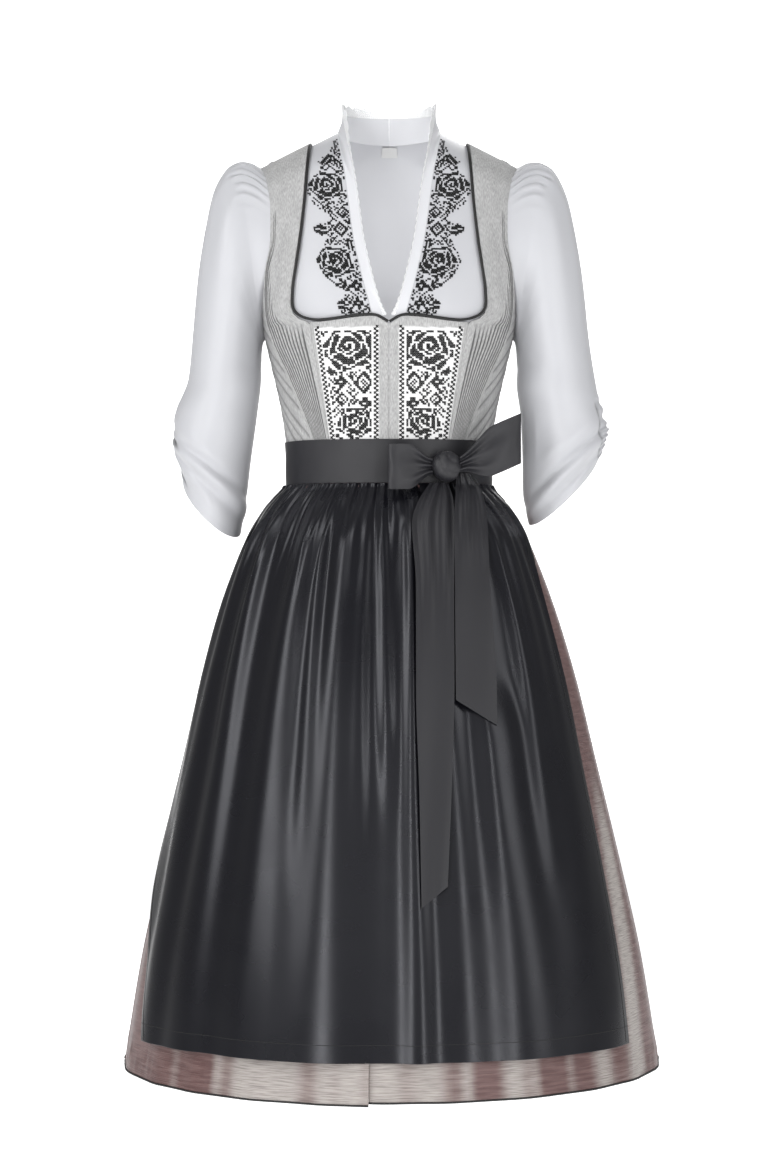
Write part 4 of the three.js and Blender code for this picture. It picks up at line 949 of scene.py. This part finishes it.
# %% Skirt
def bell_point(angle, z, out):
    """The bell: x = (half(z) + out) sin a, y = -(depth(z) + out) cos a; its left side hangs closer."""
    turn = np.radians(angle)
    away = out + 3 * (np.sin(turn) - 1) * step(-z, 369, 425)
    depth = np.where(np.cos(turn) >= 0, read(FLARE, z, 2), read(FLARE, z, 3)) + away
    square = 1 + 0.18 * np.sin(turn) ** 2 * (1 - step(-z, 369, 600))
    return vectors((read(FLARE, z, 1) + away) * np.sin(turn), -depth * np.cos(turn) * square, z)


def skirt_fold(angle, z):
    """Height of the folds: small in front, deep behind, and growing on the way down."""
    angle = np.where(angle > 180, angle - 360, angle)
    behind = step(np.abs(angle), 88, 125)
    fallen = step(-z, 369, 900)
    wobble = 5 * np.sin(np.radians(angle * 3 + 40)) + 3 * np.sin(np.radians(angle * 7))
    wave = 0.5 + 0.5 * np.cos(np.radians((angle + wobble * 0.4) * 24))
    height = mix(mix(0.4, 2, fallen), mix(1.5, 13, fallen), behind)
    return height * wave**1.3 * step(-z, 369, 385)


def puckers(angle, z):
    """Small pulls just above the hem stitching."""
    near = bump(z, SKIRT_HEM + 16, 14)
    return 0.8 * near * np.sin(angle * 4.3 + 2 * np.sin(angle * 0.9)) * np.sin(z * 0.11 + angle * 0.31)


def shot_sheen(angle, z):
    """Painted sheen: which of the taffeta's two colours shows, 1 (champagne) where a fold turns up to the
    light.
    """
    side_fold = bump(angle - (z + 960) * 0.03, 65.5, 5.6) * step(-z, 600, 820)
    hem = sum(high * bump(angle, at, wide) for at, wide, high in (
        (-51, 2.5, 0.45), (-38, 2, 0.6), (-31, 4.5, 0.9), (-22, 6, 0.95), (-13, 2.5, 0.7), (-8, 3, 0.95),
        (-1, 4, 0.95), (8, 5, 0.9), (16, 2, 0.65), (26, 3.5, 0.85), (31, 2, 0.5), (40, 2, 0.5),
        (50, 4.5, 0.8)))
    wobble = 5 * np.sin(np.radians(angle * 3 + 40)) + 3 * np.sin(np.radians(angle * 7))
    flank = 0.5 + 0.5 * np.sin(np.radians((angle + wobble * 0.4) * 24 + 40))
    strong = 0.55 + 0.35 * np.sin(angle * 0.19 + 1) * np.sin(z * 0.004 + angle * 0.07)
    behind = step(np.abs(angle), 82, 104) * flank**1.5 * strong
    return np.clip(side_fold + hem * step(-z, 900, 985) + behind, 0, 1)


OPENING_ANGLE = -4
for name, start, end, columns, lap in (
    ("skirt_front_left", -90, OPENING_ANGLE, 100, 4),
    ("skirt_front_right", OPENING_ANGLE, 90, 105, 0),
    ("skirt_back_right", 90, 180, 130, 0),
    ("skirt_back_left", 180, 270, 130, 0),
):
    u, v = evenly(columns)[:, None], evenly(60)[None, :]
    z = mix(WAIST_SEAM - SEAM_GAP, SKIRT_HEM, v) + 0 * u
    angle = mix(start + 0.03, end - 0.03, u) + 0 * v
    grid = bell_point(angle, z, skirt_fold(angle, z) + puckers(angle, z))
    grid[..., 1] -= lap * step(u, 0.82, 1) * step(-z, 420, 700)
    grid[..., 2] -= lap * 0.6 * step(v, 0.5, 1)
    signed = np.where(angle > 180, angle - 360, angle)
    # The turn value is painted sheen: it sets where the taffeta shows champagne.
    piece = cloth(f"{name}_cloth", grid, 1.3, taffeta, values={"turn": shot_sheen(signed, z)})
    braid = tube(f"{name}_hem_braid", grid[:, -1] + [0, 0, 0.3], 1.2, black_cord, 6)
    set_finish(braid, "black_trim")
    sewn(piece, [name], "skirt_taffeta", with_pieces=[braid])

# %% [markdown]
# ## The apron
# The apron is one width of satin gathered into a band. Close gathers leave the band, and some of them
# grow into long folds that reach the hem. Each fold below is a ridge with a place, a width and a height.

# %% Apron
APRON_FOLDS = (
    (-96, -62, 6, 5, 0, 0.5), (-76, -60, 5, 9, 0, 1), (-58, -48, 4.6, 12, 0, 1), (-36, -28, 6, 13, 0, 1),
    (-27, -20, 2.5, 5, 0, 0.5), (-18, -13, 6, 12, 0, 1), (-10, -6, 2.5, 4, 0, 0.45),
    (-2, 0, 2.5, 4, 0, 0.35),
    (8, 6, 2.4, 7, 0, 1), (17, 16, 4, 5, 0.1, 1), (28, 27, 3, 4, 0, 0.5), (32, 31, 6, 12, 0.35, 1),
    (44, 40, 3, 5, 0, 0.5), (53, 46, 7, 7, 0, 1), (62, 50, 3.5, 5, 0, 0.6), (72, 54, 4, 5, 0, 0.9),
)
GATHER_PITCH = 8.2
APRON_EDGES = np.array([
    (-369, -100, 79), (-420, -96, 70), (-480, -94, 63), (-540, -92, 61.5), (-700, -91, 61),
    (-800, -84, 60.5),
    (-900, -70, 59.5),
    (-985, -62, 58.5),
], float)


def apron_relief(angle, z):
    """Sum of the folds, each exp(-((a - middle) / wide)^2), with close gathers under the band."""
    fallen = np.clip((BAND_FOOT - z) / (BAND_FOOT - APRON_HEM), 0, 1)
    height = 0
    for top, hem, wide, high, start, end in APRON_FOLDS:
        middle = mix(top, hem, np.sqrt(fallen)) + 0.9 * np.sin(fallen * 5 + top) * (1 - fallen)
        lives = step(fallen, start - 0.02, start + 0.12) * (1 - step(fallen, end, end + 0.3))
        height = height + high * lives * bump(angle, middle, wide * (0.7 + 0.6 * fallen))
    pull = angle + 1.2 * np.sin(angle * 0.21) + 0.8 * np.sin(angle * 0.47 + 1)
    near = 1 - step(fallen, 0.02, 0.17 + 0.07 * np.sin(pull * 0.9))
    gathers = 3.8 * near * (ribs(pull / GATHER_PITCH, 0.75) - 0.5)
    gathers = gathers + 0.8 * (1 - step(fallen, 0.01, 0.07)) * np.cos(pull * 2.1)
    flow = 0.8 * np.sin(pull * 0.3 + 0.6) * step(fallen, 0.05, 0.3)
    return 12 * np.tanh(height / 12) * step(fallen, 0, 0.1) + gathers + flow


def apron_grid(columns, rows):
    """The apron between its two edges, from the band to the hem."""
    u, v = evenly(columns)[:, None], evenly(rows)[None, :]
    z = mix(BAND_FOOT - SEAM_GAP, APRON_HEM, v**1.15) + 0 * u
    angle = mix(read(APRON_EDGES, z, 1), read(APRON_EDGES, z, 2), u)
    lift = mix(3.4, 6, step(-z, 369, 420))
    return bell_point(angle, z, lift + apron_relief(angle, z))


panel = cloth("apron_panel_cloth", apron_grid(330, 90), 1.0, dark_satin)
u, v = evenly(120)[:, None], evenly(14)[None, :]
z = mix(BAND_TOP, BAND_FOOT, v) + 0 * u
soft = 0.25 * np.sin(u * 90 + v * 3) * np.sin(v * np.pi) + 0.3 * np.sin(u * 41 - v * 5)
grid = on_body(360 * u + 0 * v - 180, z, -2.1 - soft)
grid[-1] = grid[0]
band = cloth("apron_band_cloth", grid, 1.6, tie_satin, loop=True)
sewn(band, ["apron_band"], "apron_satin")
STITCH_UP, STITCH_IN, STITCH_RADIUS = 18.5, 9.0, 0.32
z = APRON_HEM + STITCH_UP + 0 * evenly(330)
angle = mix(read(APRON_EDGES, z, 1), read(APRON_EDGES, z, 2), evenly(330))
stitched = [bell_point(angle, z, mix(3.4, 6, step(-z, 369, 420)) + apron_relief(angle, z) + 0.05)]
for column, way in ((1, 1), (2, -1)):
    z = mix(BAND_FOOT - 8, APRON_HEM + 2, evenly(300))
    angle = read(APRON_EDGES, z, column) + way * np.degrees(STITCH_IN / read(FLARE, z, 1))
    stitched.append(bell_point(angle, z, mix(3.4, 6, step(-z, 369, 420)) + apron_relief(angle, z) + 0.05))
threads = []
for place, path in enumerate(stitched, 1):
    thread = tube(f"apron_stitching_{place}", path, STITCH_RADIUS, black_cord, 6)
    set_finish(thread, "apron_satin")
    threads.append(thread)
sewn(panel, ["apron_panel"], "apron_satin", threads)

# %% [markdown]
# ## The bow
# The ties go round the waist and are knotted on the viewer's right: two loops, two tails and a knot.
# A loop is a strip folded back on itself and pinched where the knot holds it, so creases fan out from there.

# %% Bow
KNOT = (64, -98.4, -351)
LOOPS = {
    "left": (49, -1, -98, -117, -351, -352, 9, 25, 6),
    "right": (79, 148, -97, -84, -349, -319, 9, 28, 7),
}
TAIL_LONG = np.array([
    (-369, 47, 66, 12.5), (-390, 33, 72, 13.5), (-413, 26, 73, 14.5), (-480, 30, 72, 15.4),
    (-590, 29.7, 71.5, 15.4),
    (-697, 33, 68, 15.4), (-803, 35, 63, 15.4),
], float)
TAIL_SHORT = np.array([
    (-358, 76.4, 92, 16), (-375, 75, 104, 16.5), (-413, 73, 110, 16), (-480, 73, 112, 15.4),
    (-568, 73, 118, 15.4),
    (-607, 73, 118, 15.4),
], float)


def loop_grid(hand):
    """A strip out to the loop's end and back: x, y and z follow the reach, the width opens from the knot."""
    x0, x1, y0, y1, z0, z1, start, end, swell = LOOPS[hand]
    u, v = evenly(80)[:, None], evenly(32)[None, :]
    way = 2 * u - 1
    reach = np.maximum(1 - np.abs(way) ** 1.7, 0)
    puff = swell * np.sin(np.pi * way) * (0.55 + 0.45 * reach)
    half = mix(start, end, step(reach, 0, 0.55))
    across = mix(half, -half, v)
    fan = np.cos((v - 0.45) * 17) * 2.8 * (1 - step(reach, 0.12, 0.75)) + 0.8 * np.sin(v * 9 + reach * 4)
    y = mix(y0, y1, reach) - puff - 3 * way - fan * np.sign(way) * 0.8 * step(np.abs(way), 0.05, 0.3)
    return vectors(mix(x0, x1, reach), y, mix(z0, z1, reach) + across)


def tail_grid(rows, slant_left, slant_right, folds):
    """A flat tail: narrow at the knot, with soft folds that run out of it, and a slanted end."""
    u, v = evenly(44)[:, None], evenly(70)[None, :]
    z = mix(rows[0, 0], rows[-1, 0], v) + 0 * u
    x = mix(read(rows, z, 1), read(rows, z, 2), u)
    lower = z + mix(slant_left, slant_right, u) * v * v
    near = 1 - step(v, 0.0, 0.45)
    fold = folds * near * (np.cos((u - 0.35) * 15) + 0.4 * np.cos(u * 31)) + 0.8 * np.sin(u * 5 + v * 4)
    out = read(rows, z, 3) + fold
    angle = np.degrees(np.arcsin(np.clip(x / (read(FLARE, lower, 1) + out), -1, 1)))
    return bell_point(angle, lower, out)


def knot_grid():
    """A rolled knot: an egg whose surface is wound with soft diagonal wraps."""
    u, v = evenly(90)[:, None], evenly(50)[None, :]
    turn, rise = u * 2 * np.pi, (v - 0.5) * np.pi
    roll = np.hypot(np.cos(rise) * np.cos(turn) - 0.75, np.sin(rise) - 0.9)
    wrap = 0.94 + 0.08 * ribs(roll * 1.35 + 0.1, 0.9)
    wrap = mix(1, wrap, np.cos(rise) ** 0.5)
    size = np.array([16.5, 13.0, 17.5])
    ball = vectors(np.cos(rise) * np.cos(turn), np.cos(rise) * np.sin(turn), np.sin(rise) + 0 * turn)
    return ball * wrap[..., None] * size + np.array(KNOT)


for hand in LOOPS:
    loop = cloth(f"bow_loop_{hand}_cloth", loop_grid(hand), 1.2, tie_satin, rounded=True)
    sewn(loop, [f"bow_loop_{hand}"], "apron_satin")
tail = cloth("bow_tail_long_cloth", tail_grid(TAIL_LONG, -22, 0, 1.8), 1.0, tie_satin)
sewn(tail, ["bow_tail_long"], "apron_satin")
tail = cloth("bow_tail_short_cloth", tail_grid(TAIL_SHORT, 0, -28, 1.8), 1.0, tie_satin)
sewn(tail, ["bow_tail_short"], "apron_satin")
knot = cloth("bow_knot_cloth", knot_grid(), 1.0, tie_satin, loop=True, rounded=True)
sewn(knot, ["bow_knot"], "apron_satin")

# %% [markdown]
# ## The cross-stitch
# Counted cross-stitch is worked on a grid: every filled square is one small X of two crossing threads.
# The chart below is written as formulas on that grid: petals round a rose, ringed buds, pointed leaves and
# a row of small blocks as a border. Each filled square then becomes two tiny bars that lie on the cloth.

# %% Motifs on the stitch grid
def rose(x, z, at, size, lean):
    """A rose: r < 0.9 + 0.1 cos(5 t), cut by two wavy pale rings, pale lines between petals and a curl."""
    px, pz = (x - at[0]) / size[0] * 2, (z - at[1]) / size[1] * 2
    px, pz = px * np.cos(lean) + pz * np.sin(lean), pz * np.cos(lean) - px * np.sin(lean)
    r, t = np.hypot(px, pz), np.arctan2(pz, px)
    filled = r < 0.92 + 0.08 * np.cos(5 * t + 0.9)
    outer = np.abs(r - 0.72 - 0.05 * np.cos(5 * t + 2.4)) < 0.044
    outer_cuts = (np.abs(np.sin(2.5 * t + 0.45)) < 0.11) & (r > 0.72)
    shift = np.hypot(px, pz - 0.12)
    inner = np.abs(shift - 0.43 - 0.05 * np.cos(4 * t + 1)) < 0.045
    inner_cuts = (np.abs(np.sin(2 * t + 1.2)) < 0.13) & (shift > 0.43) & (r < 0.7)
    curl = (shift < 0.32) & (np.sin(shift * 24 - t) > 0.45)
    return filled & ~outer & ~outer_cuts & ~inner & ~inner_cuts & ~curl, r < 1.04


def bud(x, z, at, size):
    """A bud: a diamond ring with a checked middle."""
    away = np.abs(x - at[0]) / size[0] * 2 + np.abs(z - at[1]) / size[1] * 2
    check = (np.floor(x / 2) + np.floor(z / 2)) % 2 == 0
    return (away < 1) & ((away > 0.62) | (check & (away < 0.42))), away < 1.3


def leaf(x, z, at, size, turn):
    """A pointed leaf with a pale vein."""
    px = (x - at[0]) * np.cos(turn) + (z - at[1]) * np.sin(turn)
    pz = (z - at[1]) * np.cos(turn) - (x - at[0]) * np.sin(turn)
    inside = np.abs(pz) < size[1] / 2 * np.cos(np.clip(px / size[0], -0.5, 0.5) * np.pi)
    inside = inside & (np.abs(px) < size[0] / 2)
    return inside & ~((np.abs(pz) < 0.9) & (px < size[0] * 0.25)), inside


def bloom(x, z, at, size):
    """A small flower: four petals round a pale middle."""
    r = np.hypot(x - at[0], z - at[1]) / size * 2
    t = np.arctan2(z - at[1], x - at[0])
    return (r < 0.62 + 0.38 * np.abs(np.cos(2 * t))) & (r > 0.26), r < 1.1


def sprigs(column, row):
    """Small leaves between the flowers: short slanting runs of squares."""
    first = ((column + row) % 3 == 0) & ((column // 2 + row // 3) % 3 < 2)
    second = ((column - row) % 4 == 0) & ((column // 3 + row // 2) % 2 == 0)
    return first | second | ((column * 3 + row * 5) % 11 == 0)


def charted(column, row, motifs):
    """Puts motifs one over another on the sprigs; a pale margin is kept round each."""
    chart = sprigs(column, row)
    for filled, cleared in motifs:
        chart = np.where(cleared, False, chart) | filled
    return chart


def crosses(name, x, z, side, sink, pitch):
    """One X of two threads on each place: bars that run corner to corner, 0.45 of the pitch wide."""
    here = on_body(side * angle_at(x, z), z, sink)
    beside = on_body(side * angle_at(x + 0.5, z), z, sink)
    above = on_body(side * angle_at(x, z + 0.5), z + 0.5, sink)
    right, up = unit(beside - here) * side, unit(above - here)
    out = unit(np.cross(right, up))
    size = np.broadcast_to(pitch, x.shape)[:, None, None]
    long, wide = 0.66, 0.24
    ends = np.array([(-long, -wide), (long, -wide), (long, wide), (-long, wide)])
    bars = []
    for turn, low, high in ((np.pi / 4, -0.15, 0.32), (-np.pi / 4, -0.1, 0.48)):
        a = ends[:, 0] * np.cos(turn) - ends[:, 1] * np.sin(turn)
        b = ends[:, 0] * np.sin(turn) + ends[:, 1] * np.cos(turn)
        foot = here[:, None] + (a[None, :, None] * right[:, None] + b[None, :, None] * up[:, None]) * size
        bars += [foot + low * out[:, None], foot + high * out[:, None]]
    points = np.stack([np.concatenate(bars[:2], 1), np.concatenate(bars[2:], 1)], 1).reshape(-1, 3)
    faces = np.array([(3, 2, 1, 0), (4, 5, 6, 7), (0, 1, 5, 4), (1, 2, 6, 5), (2, 3, 7, 6), (3, 0, 4, 7)])
    quads = (np.arange(len(x) * 2)[:, None, None] * 8 + faces[None]).reshape(-1, 4)
    piece = mesh_from(name, points, quads, black_thread)
    print(f"{name}: {len(x)} crosses")
    return piece


# %% Embroidered bodice fronts
FRONT_PITCH, BORDER_PITCH = 2.0, 2.45
for side, hand in HANDS:
    column, row = np.meshgrid(np.arange(39), np.arange(62), indexing="ij")
    x, z = 12.5 + column * FRONT_PITCH, -199.0 - row * FRONT_PITCH
    outer = panel_side(z) - 5.5
    motifs = (
        leaf(x, z, (22, -214), (16, 9), 1.9), leaf(x, z, (70, -205), (14, 7), 0.4),
        leaf(x, z, (72, -213), (14, 7), -0.2), leaf(x, z, (24, -238), (22, 11), -0.9),
        leaf(x, z, (62, -243), (16, 9), 0.5), rose(x, z, (45, -221), (60, 50), 0.15),
        bud(x, z, (28, -258), (23, 27)), bloom(x, z, (53, -257), 14), leaf(x, z, (40, -250), (14, 6), 0.9),
        bud(x, z, (52, -276), (16, 17)), bloom(x, z, (27, -281), 15), leaf(x, z, (40, -279), (16, 7), -0.8),
        leaf(x, z, (22, -292), (13, 8), 0.9), rose(x, z, (38, -302), (42, 38), -0.1),
    )
    chart = charted(column, row, motifs)
    chart = chart & (x > 18.5) & (x < outer - 6) & (z < -202)
    block = np.arange(56)
    block_z = -198.0 - block * BORDER_PITCH
    inner_x = 13.0 + (block % 2) * BORDER_PITCH
    outer_x = panel_side(block_z) - 8.5 + (block % 2) * BORDER_PITCH
    all_x = np.concatenate([x[chart], inner_x, outer_x])
    all_z = np.concatenate([z[chart], block_z, block_z])
    sizes = np.concatenate([np.full(chart.sum(), FRONT_PITCH), np.full(112, BORDER_PITCH * 1.1)])
    thread = crosses(f"front_{hand}_cross_stitch", all_x, all_z, side, 0.0, sizes)
    front = unstitched[f"front_{hand}"]
    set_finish(thread, "black_trim")
    sewn(front, [f"bodice_front_{hand}"], "embroidered_panel", with_pieces=[thread])

# %% Embroidered bands of the blouse
BLOUSE_PITCH = 1.85
BAND_WIDTH = np.array([
    (30, 4), (10, 12), (-4, 28), (-12, 26), (-33, 46), (-55, 40), (-72, 22), (-84, 44), (-98, 32),
    (-122, 47),
    (-146, 38), (-160, 24), (-174, 36), (-192, 30),
], float)
for side, hand in HANDS:
    column, row = np.meshgrid(np.arange(28), np.arange(118), indexing="ij")
    z = 26.0 - row * BLOUSE_PITCH
    s = 2.0 + column * BLOUSE_PITCH
    x = np.maximum(read(V_SEAM, z), 1) + s
    shift = 3 if side < 0 else -3
    motifs = (
        leaf(s, z, (8, 14), (22, 7), 1.75), leaf(s, z, (17, -2), (18, 9), 2.3), leaf(s, z, (6, -8),
        (18, 7), 1.2),
        leaf(s, z, (40, -22), (16, 9), 0.6), leaf(s, z, (41, -40), (16, 9), -0.4),
        rose(s, z, (23, -34), (42, 37), 0.1), bud(s, z, (8, -66), (15, 15)), leaf(s, z, (24, -62),
        (16, 6), -0.7),
        bud(s, z, (13, -86), (17, 20)), leaf(s, z, (36, -86), (20, 11), 0.1), leaf(s, z, (40, -110),
        (14, 8), 0.6),
        leaf(s, z, (6, -105), (16, 7), 1.4), rose(s, z, (24 + shift, -124), (44, 38), 0.1),
        leaf(s, z, (42, -138), (14, 8), -0.5), bloom(s, z, (9, -152), 13), leaf(s, z, (22, -155), (14, 6),
        -0.8),
        leaf(s, z, (32, -174), (18, 10), 0.2), bloom(s, z, (12, -172), 12), leaf(s, z, (20, -186),
        (14, 6), 0.7),
    )
    chart = charted(column, row, motifs) & (s < read(BAND_WIDTH, z))
    free = (z > NECK_FOOT + 3) & (x < straight(NECKLINE, z) - 2.5)
    chart = chart & free
    thread = crosses(f"blouse_{hand}_cross_stitch", x[chart], z[chart], side, BLOUSE_DEPTH, BLOUSE_PITCH)
    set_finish(thread, "black_trim")
    blouse = unstitched[f"blouse_{hand}"]
    sewn(blouse, [f"blouse_front_{hand}"], "blouse_satin", with_pieces=[thread])

# %% [markdown]
# ## The studio
# A clothing photograph has no shadows to speak of: big soft lights, a white surround and a level camera.
# The key light is the stronger one, so that folds keep a bright side and a dark side.
# Two narrow strips draw the long highlights of the dark satin. The white wall is kept narrow,
# because a wide one mirrors in the satin's rims. A small lamp inside lights the blouse's back.

# %% Floor, lights and camera
FLOOR_Z, FLOOR_HALF, FLOOR_FRONT = -1.476, 14.0, -8.0
WALL_Y, WALL_HALF, WALL_TOP = 11.0, 3.8, 4.0
LEFT_RIGHT = np.array([-1, 1, 1, -1])
floor_y = np.array([FLOOR_FRONT, FLOOR_FRONT, WALL_Y, WALL_Y])
floor_points = vectors(LEFT_RIGHT * FLOOR_HALF, floor_y, FLOOR_Z) / MM
floor_look = plain_look("studio_floor", grey(0.9), 0.9, Emission_Color=(1, 1, 1, 1), Emission_Strength=0.66)
floor = mesh_from("studio_floor", floor_points, np.array([[0, 1, 2, 3]]), floor_look)
wall_z = np.array([FLOOR_Z, FLOOR_Z, WALL_TOP, WALL_TOP])
wall_points = vectors(LEFT_RIGHT * WALL_HALF, WALL_Y, wall_z) / MM
wall_look = plain_look("studio_wall", grey(0.9), 0.9, Emission_Color=(1, 1, 1, 1), Emission_Strength=1.0)
wall = mesh_from("studio_wall", wall_points, np.array([[0, 1, 2, 3]]), wall_look)
world = bpy.data.worlds.new("studio_white")
world.use_nodes = True
world.node_tree.nodes["Background"].inputs[0].default_value = (1, 1, 1, 1)
world.node_tree.nodes["Background"].inputs[1].default_value = 0.27
bpy.context.scene.world = world
bpy.context.scene.view_settings.view_transform = "Standard"


def soft_light(name, place, aim, size, power):
    """A square soft light that faces a point."""
    lamp = bpy.data.lights.new(name, "AREA")
    lamp.shape = "RECTANGLE"
    lamp.size, lamp.size_y = size
    lamp.energy = power
    light = bpy.data.objects.new(name, lamp)
    towards = np.array(aim, float) - np.array(place, float)
    flat = np.hypot(towards[0], towards[1])
    light.rotation_euler = (np.arctan2(flat, -towards[2]), 0, np.arctan2(-towards[0], towards[1]))
    light.location = place
    bpy.context.scene.collection.objects.link(light)


soft_light("key_left", (-2.4, -1.9, 1.0), (0, 0, -0.5), (0.9, 2.4), 40)
soft_light("fill_right", (2.6, -1.4, 0.4), (0, 0, -0.6), (0.7, 2.4), 17)
soft_light("front", (0.3, -4.2, 0.6), (0, 0, -0.4), (1.6, 1.6), 5)
soft_light("strip_left", (-1.25, -3.3, -0.3), (0, 0, -0.6), (0.22, 2.6), 36)
soft_light("strip_right", (1.7, -2.9, -0.3), (0, 0, -0.6), (0.22, 2.6), 25)
soft_light("top", (-0.45, -1.7, 2.3), (0, 0, -0.4), (1.0, 1.0), 15)
soft_light("back", (0.5, 3.6, 2.2), (0, 0, -0.5), (2.6, 2.0), 70)
soft_light("inside", (0, -0.05, -0.085), (0, 0.2, -0.09), (0.1, 0.12), 0.19)
lens = bpy.data.cameras.new("photo_camera")
lens.lens = 85.27
lens.sensor_width = 36
camera = bpy.data.objects.new("photo_camera", lens)
camera.location = (0.0023, -3.2, -0.486)
camera.rotation_euler = (np.pi / 2, 0, 0)
bpy.context.scene.collection.objects.link(camera)
bpy.context.scene.camera = camera
